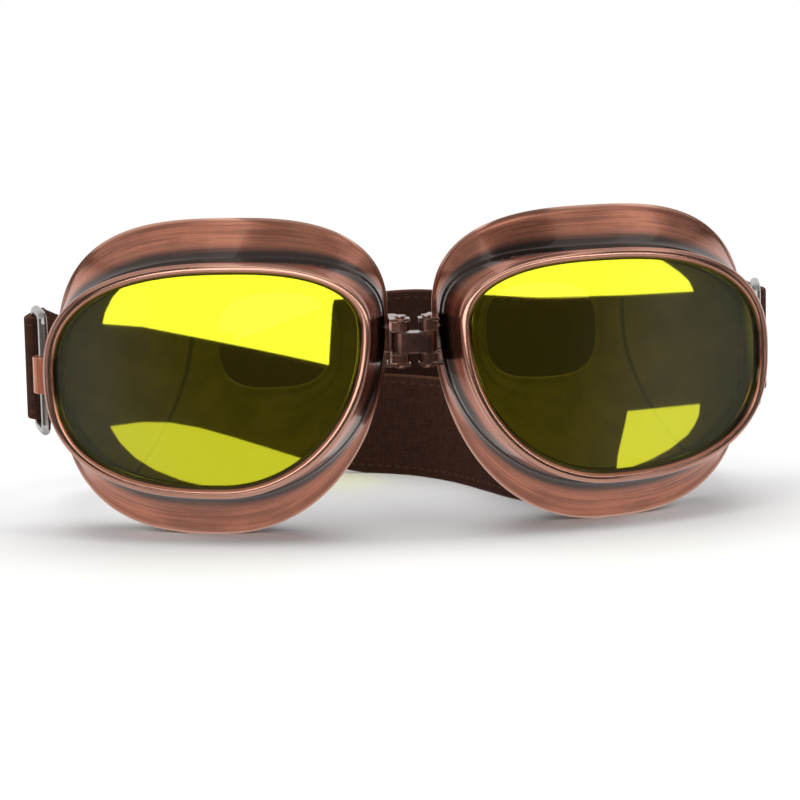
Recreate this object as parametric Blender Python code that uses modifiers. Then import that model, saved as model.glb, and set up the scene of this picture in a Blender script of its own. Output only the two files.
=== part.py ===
"""Pilot goggles: two hinged copper eyepieces on an elastic strap, standing as in the photo.

+X is the viewer's right, +Y runs away from the viewer, +Z is up; lengths are metres.
Everything is drawn with the nose link at x = 0 and then slid along Y onto the origin.
The left eyepiece is the mirror image of the right one, which is the one described here.
"""
import math

import bmesh
import bpy
from mathutils import Matrix, Vector

# Outline of the right eyepiece's rim seen from the front, as (x, z) of its extremes.
# The side wall's back edge is shifted from the rim, and the brim's edge from the side wall.
RIM_TOP = (0.047, 0.0731)
RIM_TEMPLE = (0.094, 0.0425)
RIM_BOTTOM = (0.050, 0.0123)
RIM_NOSE = (0.0112, 0.054)
WALL_TOP_SHIFT = (-0.001, -0.0005)
WALL_TEMPLE_SHIFT = (-0.0025, -0.0005)
WALL_BOTTOM_SHIFT = (0.0, -0.0008)
WALL_NOSE_SHIFT = (-0.0037, 0.0)
BRIM_TOP_SHIFT = (-0.002, 0.0097)
BRIM_TEMPLE_SHIFT = (-0.0015, -0.0005)
BRIM_BOTTOM_SHIFT = (0.0, -0.0115)
BRIM_NOSE_SHIFT = (-0.0019, 0.0025)
EYE_MIDDLE = (0.0345, 0.0495)
EYE_HALF_WIDTH = 0.0142
EYE_HALF_HEIGHT = 0.0123
# Fullness of the quarters top to temple, nose to top, bottom to nose, temple to bottom:
# two is an ellipse, more is squarer.
RIM_FULLNESS_SHARES = (2.4, 2.4, 2.0, 2.6)
WALL_FULLNESS_SHARES = (2.4, 2.9, 2.1, 2.5)
BRIM_FULLNESS_SHARES = (2.85, 2.5, 2.15, 2.8)
EYE_FULLNESS_SHARES = (3.0, 3.0, 3.0, 3.0)
STATIONS = 52
DENSE_STEPS = 1440
CORNER_WEIGHT = 0.016
NUDGE_SHARE = 0.0005

# How the lens and the brim bend round the face
LENS_BEND = 0.110
LENS_CENTRE_X = 0.028
LENS_CENTRE_Z = 0.043
LENS_BOWL_RADIUS = 0.4545
BRIM_BEND = 0.130
BRIM_CENTRE_X = 0.020
BRIM_BACK = 0.015

FIT_GAP = 0.0003
SEAT_GAP = 0.00035
TURN_GAP = 0.0003

# Lens frame: rolled rim, side wall and the seat of the lens
LIP_WIDTH = 0.0035
LIP_EDGE = 0.0013
ROLL_INNER = (0.0022, 0.0002)
ROLL_CREST = (0.0013, 0.0)
ROLL_OUTER = (0.0003, 0.0004)
ROLL_SIDE = 0.0013
SEAT_INSET = 0.0016
LIP_BACK = 0.0019
SEAT_END = 0.0036
WALL_DEPTH = 0.007
WALL_NOSE_EXTRA = 0.001
WALL_TOP_LESS = 0.001
WALL_THICKNESS = 0.0014

LENS_THICKNESS = 0.0016
LENS_RING_SHARES = (1.0, 0.8, 0.55, 0.28)
GASKET_WIDTH = 0.0016
SPIGOT_REACH = 0.0006

# Vent notches in the back edge of the side wall, at its top on the nose side
VENT_COUNT = 3
VENT_FIRST_BACK = 0.0228
VENT_PITCH = 0.0037
VENT_LENGTH = 0.0018
VENT_DEEP = 0.0014
VENT_TALL = 0.0035

# Eyecup: spigot inside the side wall, open groove, flared brim with a rolled edge
SPIGOT_THICKNESS = 0.00105
GROOVE_WIDTH = 0.0009
GROOVE_FLOOR = 0.0005
CUP_LAND = (0.0012, 0.0024)
SPIGOT_BACK = 0.0022
FLARE_SHARES = (0.33, 0.67)
FLARE_OUT_POWER = 1.3
FLARE_BACK_POWER = 1.3
BRIM_SHEET = 0.0011
EDGE_FRONT = (0.0007, -0.0001)
EDGE_CREST = (0.0, 0.00035)
EDGE_ROLL = (0.0001, 0.0011)
EDGE_BACK = (0.0009, 0.0015)
EDGE_INNER = (0.0019, 0.0012)

# Board and cushion behind the cup
BOARD_INSET = 0.0018
BOARD_TEMPLE_INSET = 0.0007
BOARD_TEMPLE_DROP = 0.0038
BOARD_THICKNESS = 0.0012
EYE_DEPTH = 0.0215
PAD_GAP = 0.0006
PAD_INSET = 0.0028
PAD_SEAT = 0.0019
PAD_BULGE_INSET = 0.0016
PAD_HEIGHT = 0.0105
PAD_NOSE_TAPER_SHARE = 0.5
PAD_SHOULDER_INSET = 0.0032
PAD_NOSE_INSET = 0.0035
PAD_CROWN_SHARES = (0.35, 0.68)
PAD_EYE_RISE = 0.0080
PAD_EYE_SHOULDER = (0.0016, 0.0052)
PAD_EYE_SIDE = (0.0007, 0.0026)
PAD_EYE_FOOT = 0.0008
PAD_SIDE_SHARE = 0.28
PAD_SHOULDER_SHARE = 0.75

# Nose hinge: two upright pins, a link between them and a bracket on each cup
PIN_X = 0.0034
PIN_Y = 0.007
PIN_RADIUS = 0.0009
PIN_HEAD_RADIUS = 0.0015
PIN_HEAD_HEIGHT = 0.0003
KNUCKLE_RADIUS = 0.0022
HINGE_BELOW_NOSE = 0.0060
LOWER_TIER = 0.0031
LINK_TIER = 0.0052
UPPER_TIER = 0.0034
PLATE_THICKNESS = 0.0011
PLATE_GAP = 0.0005
PLATE_START = 0.0016
PLATE_END_SHORT = 0.0011
ARM_BACK = 0.0030
ARM_FRONT = 0.0014
FLANGE_THICKNESS = 0.0008
FLANGE_INNER = 0.0023
FLANGE_FRONT = 0.0020
FLANGE_STEP = 0.0010
FLANGE_LIP = 0.0013
KNUCKLE_SWEEP_SHARE = 1.05
NOSE_RIVET_RISE = 0.0033
RIVET_RADIUS = 0.0007
RIVET_HEAD_RADIUS = 0.0013
RIVET_HEAD_HEIGHT = 0.0006
NOSE_RIVET_GRIP = 0.0036

# Temple hardware: clip riveted to the brim, wire ring hanging in its barrel
TEMPLE_DROP = 0.0013
RING_STAND_OUT = 0.0036
RING_STAND_BACK = 0.0023
RING_SPREAD = 0.0017
RING_LENGTH = 0.0116
WIRE_RADIUS = 0.00125
RING_STRAP_CLEAR = 0.00045
RING_CORNER = 0.0022
BARREL_RADIUS = 0.0029
CLIP_HEIGHT = 0.0094
TONGUE_GAP = 0.0003
TONGUE_START = 0.0006
TONGUE_HEEL_OUT = 0.0008
TONGUE_HEEL_SHORT = 0.0007
TONGUE_THICKNESS = 0.00105
TONGUE_ROOT_TURN_SHARE = 0.072
TONGUE_HEEL_TURN_SHARE = 0.35
BACKPLATE_THICKNESS = 0.0012
BACKPLATE_GAP = 0.0012
BACKPLATE_WIDTH = 0.0023
BACKPLATE_HEIGHT = 0.0150
CLIP_RIVET_RADIUS = 0.0008
CLIP_RIVET_HEAD = 0.0016

# Elastic strap
STRAP_WIDTH = 0.0274
STRAP_THICKNESS = 0.0015
LAYER_GAP = 0.0003
TAIL_LENGTH = 0.012
TAIL_CLOSE = 0.0075
TAIL_LEAN_SHARE = 0.10
STRAP_BACK = 0.0975

# Slider at the back left, its own s runs along the strap and n away from the face
SLIDER_X_SHARE = -0.525
SLIDER_Y_SHARE = 0.853
SLIDER_TURN_SHARE = 0.016
SLIDER_STRAP_Z = 0.0105
SLIDER_HALF = 0.0080
SLIDER_BAR = 0.0009
SLIDER_WIRE_SHARE = 0.9
SLIDER_REACH = 0.0090
SLIDER_END = 0.0016
SLIDER_CLEAR = 0.0006
LOOP_LENGTH = 0.014
LOOP_LEVEL = 0.0094
LOOP_DROP = 0.0012

# Route of the strap's bottom edge. Each station is a share of the ring's distance from the
# middle, of the way from the rings to the back of the strap and of the strap's height at
# the rings, then the lean of its top edge as a slope.
OUTER_LEFT_SHARES = ((-0.981, 0.486, 0.925, 0.0), (-0.902, 0.686, 0.736, 0.0), (-0.776, 0.801, 0.528, 0.0))
OUTER_BACK_SHARES = ((-0.262, 0.943, 0.566, 0.0), (-0.084, 0.994, 0.760, 0.0), (0.084, 1.0, 0.815, 0.0),
                     (0.252, 0.969, 0.765, 0.0), (0.441, 0.906, 0.698, 0.0))
OUTER_RIGHT_SHARES = ((0.630, 0.822, 0.717, 0.0), (0.797, 0.738, 0.811, 0.0), (0.923, 0.612, 0.925, 0.0),
                      (0.984, 0.444, 0.981, 0.0))
INNER_BACK_SHARES = ((-0.231, 0.849, 0.132, 0.10), (-0.084, 0.811, 0.008, 0.20), (0.021, 0.727, 0.0, 0.24),
                     (0.105, 0.602, 0.0, 0.24), (0.184, 0.403, 0.0, 0.22), (0.252, 0.151, 0.0, 0.18),
                     (0.315, -0.080, 0.0, 0.12))
INNER_RIGHT_SHARES = ((0.378, -0.195, 0.015, 0.05), (0.472, -0.237, 0.057, 0.0), (0.598, -0.143, 0.189, 0.0),
                      (0.714, 0.067, 0.377, 0.0), (0.803, 0.319, 0.604, 0.0), (0.871, 0.455, 0.774, 0.0),
                      (0.937, 0.434, 0.906, 0.0), (0.971, 0.340, 0.974, 0.0))

SMOOTH_ANGLE_SHARE = 0.099
SOFT_EDGE = 0.00025
WELD = 0.000005
OVERRUN = 0.0034

FINISHES = {
    "copper": ((0.58, 0.30, 0.22, 1.0), 0.34, 1.0),
    "bright_steel": ((0.72, 0.71, 0.70, 1.0), 0.22, 1.0),
    "yellow_lens": ((0.80, 0.72, 0.05, 1.0), 0.06, 0.0),
    "black_rubber": ((0.03, 0.03, 0.03, 1.0), 0.70, 0.0),
    "brown_board": ((0.16, 0.12, 0.09, 1.0), 0.80, 0.0),
    "brown_leather": ((0.14, 0.09, 0.07, 1.0), 0.60, 0.0),
    "brown_webbing": ((0.09, 0.045, 0.035, 1.0), 0.85, 0.0),
}


def clear_scene():
    for thing in list(bpy.data.objects):
        bpy.data.objects.remove(thing, do_unlink=True)


def make_collection(name):
    group = bpy.data.collections.new(name)
    bpy.context.scene.collection.children.link(group)
    return group


def make_material(name, finish):
    colour, roughness, metallic = FINISHES[finish]
    material = bpy.data.materials.new(name)
    material.use_nodes = True
    shader = material.node_tree.nodes["Principled BSDF"]
    shader.inputs["Base Color"].default_value = colour
    shader.inputs["Roughness"].default_value = roughness
    shader.inputs["Metallic"].default_value = metallic
    material.diffuse_color = colour
    return material


# Plain shapes, each returned as a mesh

def finished(shape):
    """Turn a bmesh into a mesh with its faces pointing out."""
    bmesh.ops.recalc_face_normals(shape, faces=shape.faces)
    if shape.calc_volume(signed=True) < 0.0:
        bmesh.ops.reverse_faces(shape, faces=shape.faces)
    mesh = bpy.data.meshes.new("shape")
    shape.to_mesh(mesh)
    shape.free()
    return mesh


def made_mesh(holder):
    """The evaluated shape of a curve or of an object with modifiers, welded into a closed mesh."""
    bpy.context.scene.collection.objects.link(holder)
    evaluated = holder.evaluated_get(bpy.context.evaluated_depsgraph_get())
    rough = bpy.data.meshes.new_from_object(evaluated)
    shape = bmesh.new()
    shape.from_mesh(rough)
    bmesh.ops.remove_doubles(shape, verts=shape.verts, dist=WELD)
    bpy.data.objects.remove(holder, do_unlink=True)
    bpy.data.meshes.remove(rough)
    return finished(shape)


def joined(meshes):
    """One mesh of several closed bodies, each already pointing out."""
    shape = bmesh.new()
    for mesh in meshes:
        shape.from_mesh(mesh)
    mesh = bpy.data.meshes.new("shapes")
    shape.to_mesh(mesh)
    shape.free()
    return mesh


def moved(mesh, x, y, z):
    mesh.transform(Matrix.Translation((x, y, z)))
    return mesh


def along_x(mesh, x, y, z):
    """Lay a turned shape down so that its own z runs along +X from x."""
    mesh.transform(Matrix.Rotation(math.pi / 2, 4, "Y"))
    return moved(mesh, x, y, z)


def box(x_range, y_range, z_range):
    ranges = (x_range, y_range, z_range)
    middle = Matrix.Translation([(low + high) / 2 for low, high in ranges])
    size = Matrix.Diagonal([high - low for low, high in ranges]).to_4x4()
    shape = bmesh.new()
    bmesh.ops.create_cube(shape, size=1.0, matrix=middle @ size)
    return finished(shape)


def cylinder(radius, low, high, sides):
    shape = bmesh.new()
    middle = Matrix.Translation((0.0, 0.0, (low + high) / 2))
    bmesh.ops.create_cone(shape, cap_ends=True, segments=sides, radius1=radius, radius2=radius,
                          depth=high - low, matrix=middle)
    return finished(shape)


def turned(profile, sides):
    """Solid of revolution about z from its profile of (radius, height), closed on the axis."""
    line = [(0.0, profile[0][1])] + list(profile) + [(0.0, profile[-1][1])]
    mesh = bpy.data.meshes.new("profile")
    mesh.from_pydata([(radius, 0.0, height) for radius, height in line],
                     [(index, index + 1) for index in range(len(line) - 1)], [])
    holder = bpy.data.objects.new("profile", mesh)
    step = holder.modifiers.new("turn", "SCREW")
    step.axis = "Z"
    step.steps = step.render_steps = sides
    step.use_merge_vertices = True
    step.merge_threshold = WELD
    return made_mesh(holder)


def arc(centre, radius, points, start, sweep):
    """Points along an arc, for use in an outline."""
    return [(centre[0] + radius * math.cos(start + sweep * index / (points - 1)),
             centre[1] + radius * math.sin(start + sweep * index / (points - 1))) for index in range(points)]


def plate(line, low, high):
    """Flat piece between two heights, an outline extruded from a 2D curve."""
    curve = bpy.data.curves.new("outline", "CURVE")
    curve.dimensions = "2D"
    curve.fill_mode = "BOTH"
    curve.extrude = (high - low) / 2
    spline = curve.splines.new("POLY")
    spline.points.add(len(line) - 1)
    for point, (x, y) in zip(spline.points, line):
        point.co = (x, y, 0.0, 1.0)
    spline.use_cyclic_u = True
    return moved(made_mesh(bpy.data.objects.new("outline", curve)), 0.0, 0.0, (low + high) / 2)


def wire_loop(points, radius):
    """Round wire bent through a closed run of points."""
    curve = bpy.data.curves.new("wire", "CURVE")
    curve.dimensions = "3D"
    curve.bevel_depth = radius
    curve.bevel_resolution = 3
    spline = curve.splines.new("POLY")
    spline.points.add(len(points) - 1)
    for point, place in zip(spline.points, points):
        point.co = (place.x, place.y, place.z, 1.0)
    spline.use_cyclic_u = True
    return made_mesh(bpy.data.objects.new("wire", curve))


def loft(points, faces):
    shape = bmesh.new()
    corners = [shape.verts.new(point) for point in points]
    for face in faces:
        shape.faces.new([corners[index] for index in face])
    return finished(shape)


def ring_loft(rings):
    """Closed body through rings of equal length, the last ring joined back to the first."""
    count, levels = len(rings[0]), len(rings)
    faces = []
    for level in range(levels):
        after_level = (level + 1) % levels
        for index in range(count):
            after = (index + 1) % count
            faces.append((level * count + index, level * count + after,
                          after_level * count + after, after_level * count + index))
    return loft([point for ring in rings for point in ring], faces)


def domed_disc(front_rings, front_middle, back_rings, back_middle):
    """Curved sheet: rings from the edge inwards on both faces, each closed by a middle point."""
    count = len(front_rings[0])
    points = [point for ring in front_rings for point in ring] + [front_middle]
    back_start = len(points)
    points += [point for ring in back_rings for point in ring] + [back_middle]
    faces = []
    for start, middle in ((0, back_start - 1), (back_start, len(points) - 1)):
        last = start + (len(front_rings) - 1) * count
        for index in range(count):
            after = (index + 1) % count
            for level in range(start, last, count):
                faces.append((level + index, level + after, level + count + after, level + count + index))
            faces.append((last + index, last + after, middle))
    for index in range(count):
        after = (index + 1) % count
        faces.append((after, index, back_start + index, back_start + after))
    return loft(points, faces)


# Outlines

def shifted(extreme, shift):
    return extreme[0] + shift[0], extreme[1] + shift[1]


def rim_line():
    return RIM_TOP, RIM_TEMPLE, RIM_BOTTOM, RIM_NOSE, RIM_FULLNESS_SHARES


def wall_line():
    return (shifted(RIM_TOP, WALL_TOP_SHIFT), shifted(RIM_TEMPLE, WALL_TEMPLE_SHIFT),
            shifted(RIM_BOTTOM, WALL_BOTTOM_SHIFT), shifted(RIM_NOSE, WALL_NOSE_SHIFT), WALL_FULLNESS_SHARES)


def brim_line():
    top, temple, bottom, nose, _ = wall_line()
    return (shifted(top, BRIM_TOP_SHIFT), shifted(temple, BRIM_TEMPLE_SHIFT),
            shifted(bottom, BRIM_BOTTOM_SHIFT), shifted(nose, BRIM_NOSE_SHIFT), BRIM_FULLNESS_SHARES)


def eye_line():
    x, z = EYE_MIDDLE
    return ((x, z + EYE_HALF_HEIGHT), (x + EYE_HALF_WIDTH, z), (x, z - EYE_HALF_HEIGHT),
            (x - EYE_HALF_WIDTH, z), EYE_FULLNESS_SHARES)


def outline_point(line, turn):
    """Point on an outline; turn 0 is the temple, a quarter turn the top, a half the nose."""
    top, temple, bottom, nose, fullness = line
    c, s = math.cos(turn), math.sin(turn)
    if s >= 0.0:
        across, power = top, fullness[0] if c >= 0.0 else fullness[1]
    else:
        across, power = bottom, fullness[2] if c < 0.0 else fullness[3]
    side = temple if c >= 0.0 else nose
    x = across[0] + (side[0] - across[0]) * abs(c) ** (2.0 / power)
    z = side[1] + (across[1] - side[1]) * abs(s) ** (2.0 / power)
    return x, z


def top_turn(line, x):
    """Turn at which the upper half of an outline passes over x."""
    top, temple, _, nose, fullness = line
    side, power = (temple, fullness[0]) if x >= top[0] else (nose, fullness[1])
    share = abs((x - top[0]) / (side[0] - top[0])) ** (power / 2.0)
    return math.acos(math.copysign(share, x - top[0]))


def outward(line, turn):
    ahead, behind = outline_point(line, turn + NUDGE_SHARE), outline_point(line, turn - NUDGE_SHARE)
    along = Vector((ahead[0] - behind[0], ahead[1] - behind[1])).normalized()
    return along.y, -along.x


def offset_point(line, turn, out):
    x, z = outline_point(line, turn)
    normal_x, normal_z = outward(line, turn)
    return x + out * normal_x, z + out * normal_z


def pick_turns(line):
    """Turns spaced by length along the outline, closer together where it bends sharply."""
    sums, total = [0.0], 0.0
    points = [Vector(outline_point(line, math.tau * step / DENSE_STEPS)) for step in range(DENSE_STEPS + 1)]
    headings = [(points[step + 1] - points[step]).normalized() for step in range(DENSE_STEPS)]
    for step in range(DENSE_STEPS):
        bend = headings[step].angle(headings[step - 1])
        total += (points[step + 1] - points[step]).length + CORNER_WEIGHT * bend
        sums.append(total)
    turns, step = [], 0
    for station in range(STATIONS):
        wanted = total * station / STATIONS
        while sums[step + 1] < wanted:
            step += 1
        part = (wanted - sums[step]) / (sums[step + 1] - sums[step])
        turns.append(math.tau * (step + part) / DENSE_STEPS)
    return turns


def lens_bend(x, z):
    return (LENS_BEND - math.sqrt(LENS_BEND ** 2 - (x - LENS_CENTRE_X) ** 2)
            + (z - LENS_CENTRE_Z) ** 2 / (2 * LENS_BOWL_RADIUS))


def brim_bend(x):
    return BRIM_BACK + BRIM_BEND - math.sqrt(BRIM_BEND ** 2 - (x - BRIM_CENTRE_X) ** 2)


def nose_share(turn):
    return max(0.0, -math.cos(turn)) ** 2


def temple_share(turn):
    return max(0.0, math.cos(turn)) ** 2


def top_share(turn):
    return max(0.0, math.sin(turn)) ** 2


def wall_depth(turn):
    return WALL_DEPTH + WALL_NOSE_EXTRA * nose_share(turn) - WALL_TOP_LESS * top_share(turn)


def at_rim(turn, out, depth):
    x, z = offset_point(rim_line(), turn, out)
    return Vector((x, lens_bend(x, z) + depth, z))


def at_wall(turn, out, depth):
    x, z = offset_point(wall_line(), turn, out)
    base_x, base_z = outline_point(wall_line(), turn)
    return Vector((x, lens_bend(base_x, base_z) + wall_depth(turn) + depth, z))


def at_brim(turn, out, depth):
    x, z = offset_point(brim_line(), turn, out)
    return Vector((x, brim_bend(outline_point(brim_line(), turn)[0]) + depth, z))


def at_eye(turn, out, depth):
    x, z = offset_point(eye_line(), turn, out)
    return Vector((x, EYE_DEPTH + depth, z))


def on_flare(turn, share, drop):
    """Point on the flared front of the brim, or drop behind it on the back of the sheet."""
    root = at_wall(turn, GROOVE_FLOOR - drop, GROOVE_WIDTH + drop)
    edge = at_brim(turn, -EDGE_FRONT[0] - drop, EDGE_FRONT[1] + drop)
    out = share ** FLARE_OUT_POWER
    back = 1.0 - (1.0 - share) ** FLARE_BACK_POWER
    return Vector((root.x + (edge.x - root.x) * out, root.y + (edge.y - root.y) * back,
                   root.z + (edge.z - root.z) * out))


def inside_wall(turn, depth, inset):
    """Point on the inner face of the side wall, moved in by inset, at a depth behind the rim."""
    front = at_rim(turn, -SEAT_INSET - inset, SEAT_END)
    back = at_wall(turn, -WALL_THICKNESS - inset, 0.0)
    share = max(0.0, (depth - SEAT_END) / (wall_depth(turn) - SEAT_END))
    return front.lerp(back, share)


# Places of the fittings, worked out from the eyepiece

def hinge_middle():
    return brim_line()[3][1] - HINGE_BELOW_NOSE


def hinge_levels():
    """Heights of the three tiers of the hinge as (low, high), bottom to top."""
    low, high = hinge_middle() - LINK_TIER / 2, hinge_middle() + LINK_TIER / 2
    lower_top, upper_foot = low - FIT_GAP, high + FIT_GAP
    return (lower_top - LOWER_TIER, lower_top), (low, high), (upper_foot, upper_foot + UPPER_TIER)


def bracket_plate():
    """Ranges of the bracket's plate beside the nose wall, along x and along y."""
    face = on_flare(math.pi, FLARE_SHARES[1], 0.0).x - PLATE_GAP
    return ((face - PLATE_THICKNESS, face),
            (PIN_Y + PLATE_START, at_brim(math.pi, 0.0, 0.0).y - PLATE_END_SHORT))


def nose_rivet_y():
    front, back = bracket_plate()[1]
    return (front + back) / 2


def temple_z():
    return brim_line()[1][1] - TEMPLE_DROP


def ring_axis():
    crest = at_brim(0.0, -EDGE_CREST[0], EDGE_CREST[1])
    return crest.x + RING_STAND_OUT, crest.y + RING_STAND_BACK


def ring_rear():
    x, y = ring_axis()
    return x + RING_SPREAD, y + RING_LENGTH


def ring_half_height():
    return STRAP_WIDTH / 2 + RING_STRAP_CLEAR + WIRE_RADIUS


def ring_strap_z():
    return temple_z() - STRAP_WIDTH / 2


def tongue_ends():
    """Front and heel of the clip's tongue, on the face that lies against the temple."""
    root, crest = on_flare(0.0, 0.0, 0.0), at_brim(0.0, -EDGE_CREST[0], EDGE_CREST[1])
    return ((root.x + TONGUE_GAP, root.y + TONGUE_START),
            (crest.x + TONGUE_HEEL_OUT, crest.y - TONGUE_HEEL_SHORT))


def backplate():
    """Ranges of the plate inside the temple wall, along x and along y."""
    face = on_flare(0.0, FLARE_SHARES[0], BRIM_SHEET).x - BACKPLATE_GAP
    front = at_wall(0.0, 0.0, SPIGOT_BACK).y + FIT_GAP
    return (face - BACKPLATE_THICKNESS, face), (front, front + BACKPLATE_WIDTH)


def clip_rivet_y():
    front, back = backplate()[1]
    return (front + back) / 2


# Placing bodies

def add_body(name, mesh, finish, parent, side):
    """Object from a shape drawn on the right; side is -1 for its mirror image on the left."""
    mesh.name = name
    mesh.transform(Matrix.Translation(-parent_origin(parent)) @ Matrix.Diagonal((side, 1.0, 1.0, 1.0)))
    if side < 0:
        mesh.flip_normals()
    mesh.shade_smooth()
    mesh.set_sharp_from_angle(angle=math.tau * SMOOTH_ANGLE_SHARE)
    body = bpy.data.objects.new(name, mesh)
    body.parent = parent
    if finish:
        body.data.materials.append(make_material(name + "_finish", finish))
        goggles.objects.link(body)
    else:
        cutters.objects.link(body)
        body.hide_render = True
        body.display_type = "WIRE"
    return body


def parent_origin(parent):
    place = Vector((0.0, 0.0, 0.0))
    while parent is not None:
        place += parent.location
        parent = parent.parent
    return place


def add_pivot(name, place, parent):
    pivot = bpy.data.objects.new(name, None)
    pivot.empty_display_size = PIN_Y
    pivot.location = Vector(place) - parent_origin(parent)
    pivot.parent = parent
    goggles.objects.link(pivot)
    return pivot


def combine(body, shape, operation, tag, side):
    tool = add_body(body.name + "_" + tag, shape, None, body.parent, side)
    step = body.modifiers.new(tag, "BOOLEAN")
    step.operation = operation
    step.solver = "EXACT"
    step.object = tool


def soften(body, width):
    step = body.modifiers.new("soft_edges", "BEVEL")
    step.width = width
    step.segments = 1
    step.limit_method = "ANGLE"
    step.angle_limit = math.radians(50.0)


def rings_of(turns, places):
    return [[place(turn) for turn in turns] for place in places]


# Eyepiece bodies

def lens_frame(turns, pivot, side, name):
    places = [
        lambda t: at_rim(t, -LIP_WIDTH, LIP_EDGE),
        lambda t: at_rim(t, -ROLL_INNER[0], ROLL_INNER[1]),
        lambda t: at_rim(t, -ROLL_CREST[0], ROLL_CREST[1]),
        lambda t: at_rim(t, -ROLL_OUTER[0], ROLL_OUTER[1]),
        lambda t: at_rim(t, 0.0, ROLL_SIDE),
        lambda t: at_wall(t, 0.0, 0.0),
        lambda t: at_wall(t, -WALL_THICKNESS, 0.0),
        lambda t: at_rim(t, -SEAT_INSET, SEAT_END),
        lambda t: at_rim(t, -SEAT_INSET, LIP_BACK),
        lambda t: at_rim(t, -LIP_WIDTH, LIP_BACK),
    ]
    body = add_body(name + "_lens_frame", ring_loft(rings_of(turns, places)), "copper", pivot, side)
    notches = []
    for index in range(VENT_COUNT):
        x = RIM_TOP[0] - VENT_FIRST_BACK + VENT_PITCH * index
        crown = at_wall(top_turn(wall_line(), x), 0.0, 0.0)
        notches.append(box((x - VENT_LENGTH / 2, x + VENT_LENGTH / 2),
                           (crown.y - VENT_DEEP, crown.y + OVERRUN),
                           (crown.z - VENT_TALL, crown.z + VENT_TALL)))
    combine(body, joined(notches), "DIFFERENCE", "vents", side)


def rivet_bores():
    """Bores for the two rivets through the bracket's plate and the nose side of the cup."""
    outer = bracket_plate()[0][0]
    length = PLATE_THICKNESS + NOSE_RIVET_GRIP + FIT_GAP
    heights = [hinge_middle() + rise for rise in (-NOSE_RIVET_RISE, NOSE_RIVET_RISE)]
    return [along_x(cylinder(RIVET_RADIUS + FIT_GAP, -OVERRUN, length, 10), outer, nose_rivet_y(), z)
            for z in heights]


def clip_bore():
    """Bore for the clip's rivet, from inside the backplate out through the tongue."""
    inside, outside = backplate()[0][0], ring_axis()[0]
    bore = cylinder(CLIP_RIVET_RADIUS + FIT_GAP, -WIRE_RADIUS, outside - inside + WIRE_RADIUS, 10)
    return along_x(bore, inside, clip_rivet_y(), temple_z())


def eyecup(turns, pivot, side, name):
    places = [
        lambda t: inside_wall(t, wall_depth(t) - SPIGOT_REACH, SEAT_GAP + SPIGOT_THICKNESS),
        lambda t: inside_wall(t, wall_depth(t) - SPIGOT_REACH, SEAT_GAP),
        lambda t: at_wall(t, -WALL_THICKNESS - SEAT_GAP, GROOVE_WIDTH),
        lambda t: on_flare(t, 0.0, 0.0),
        lambda t: on_flare(t, FLARE_SHARES[0], 0.0),
        lambda t: on_flare(t, FLARE_SHARES[1], 0.0),
        lambda t: at_brim(t, -EDGE_FRONT[0], EDGE_FRONT[1]),
        lambda t: at_brim(t, -EDGE_CREST[0], EDGE_CREST[1]),
        lambda t: at_brim(t, -EDGE_ROLL[0], EDGE_ROLL[1]),
        lambda t: at_brim(t, -EDGE_BACK[0], EDGE_BACK[1]),
        lambda t: at_brim(t, -EDGE_INNER[0], EDGE_INNER[1]),
        lambda t: on_flare(t, FLARE_SHARES[1], BRIM_SHEET),
        lambda t: on_flare(t, FLARE_SHARES[0], BRIM_SHEET),
        lambda t: at_wall(t, -CUP_LAND[0], CUP_LAND[1]),
        lambda t: at_wall(t, -WALL_THICKNESS - SEAT_GAP - SPIGOT_THICKNESS, SPIGOT_BACK),
    ]
    body = add_body(name + "_eyecup", ring_loft(rings_of(turns, places)), "copper", pivot, side)
    combine(body, joined(rivet_bores() + [clip_bore()]), "DIFFERENCE", "rivet_bores", side)


def lens(turns, pivot, side, name):
    front_depth = LIP_BACK + FIT_GAP
    edge = [at_rim(turn, -SEAT_INSET - SEAT_GAP, 0.0) for turn in turns]
    middle_x, middle_z = (RIM_NOSE[0] + RIM_TEMPLE[0]) / 2, (RIM_TOP[1] + RIM_BOTTOM[1]) / 2

    def face(depth):
        rings = []
        for share in LENS_RING_SHARES:
            ring = []
            for point in edge:
                x = middle_x + (point.x - middle_x) * share
                z = middle_z + (point.z - middle_z) * share
                ring.append(Vector((x, lens_bend(x, z) + depth, z)))
            rings.append(ring)
        return rings, Vector((middle_x, lens_bend(middle_x, middle_z) + depth, middle_z))

    front, front_middle = face(front_depth)
    back, back_middle = face(front_depth + LENS_THICKNESS)
    add_body(name + "_lens", domed_disc(front, front_middle, back, back_middle), "yellow_lens", pivot, side)


def lens_gasket(turns, pivot, side, name):
    front = LIP_BACK + LENS_THICKNESS + 2 * FIT_GAP
    places = [
        lambda t: inside_wall(t, front, SEAT_GAP + GASKET_WIDTH),
        lambda t: inside_wall(t, front, SEAT_GAP),
        lambda t: inside_wall(t, wall_depth(t) - SPIGOT_REACH - FIT_GAP, SEAT_GAP),
        lambda t: inside_wall(t, wall_depth(t) - SPIGOT_REACH - FIT_GAP, SEAT_GAP + GASKET_WIDTH),
    ]
    rings = rings_of(turns, places)
    for ring in rings[:2]:
        for point in ring:
            point.y = lens_bend(point.x, point.z) + front
    add_body(name + "_lens_gasket", ring_loft(rings), "black_rubber", pivot, side)


def board_edge(turn, depth):
    inset = BOARD_INSET + BOARD_TEMPLE_INSET * temple_share(turn)
    seat = CUP_LAND[1] + FIT_GAP + BOARD_TEMPLE_DROP * temple_share(turn)
    return at_wall(turn, -inset, seat + depth)


def pad_board(turns, pivot, side, name):
    places = [
        lambda t: board_edge(t, 0.0),
        lambda t: at_eye(t, 0.0, 0.0),
        lambda t: at_eye(t, 0.0, BOARD_THICKNESS),
        lambda t: board_edge(t, BOARD_THICKNESS),
    ]
    add_body(name + "_pad_board", ring_loft(rings_of(turns, places)), "brown_board", pivot, side)


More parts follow.
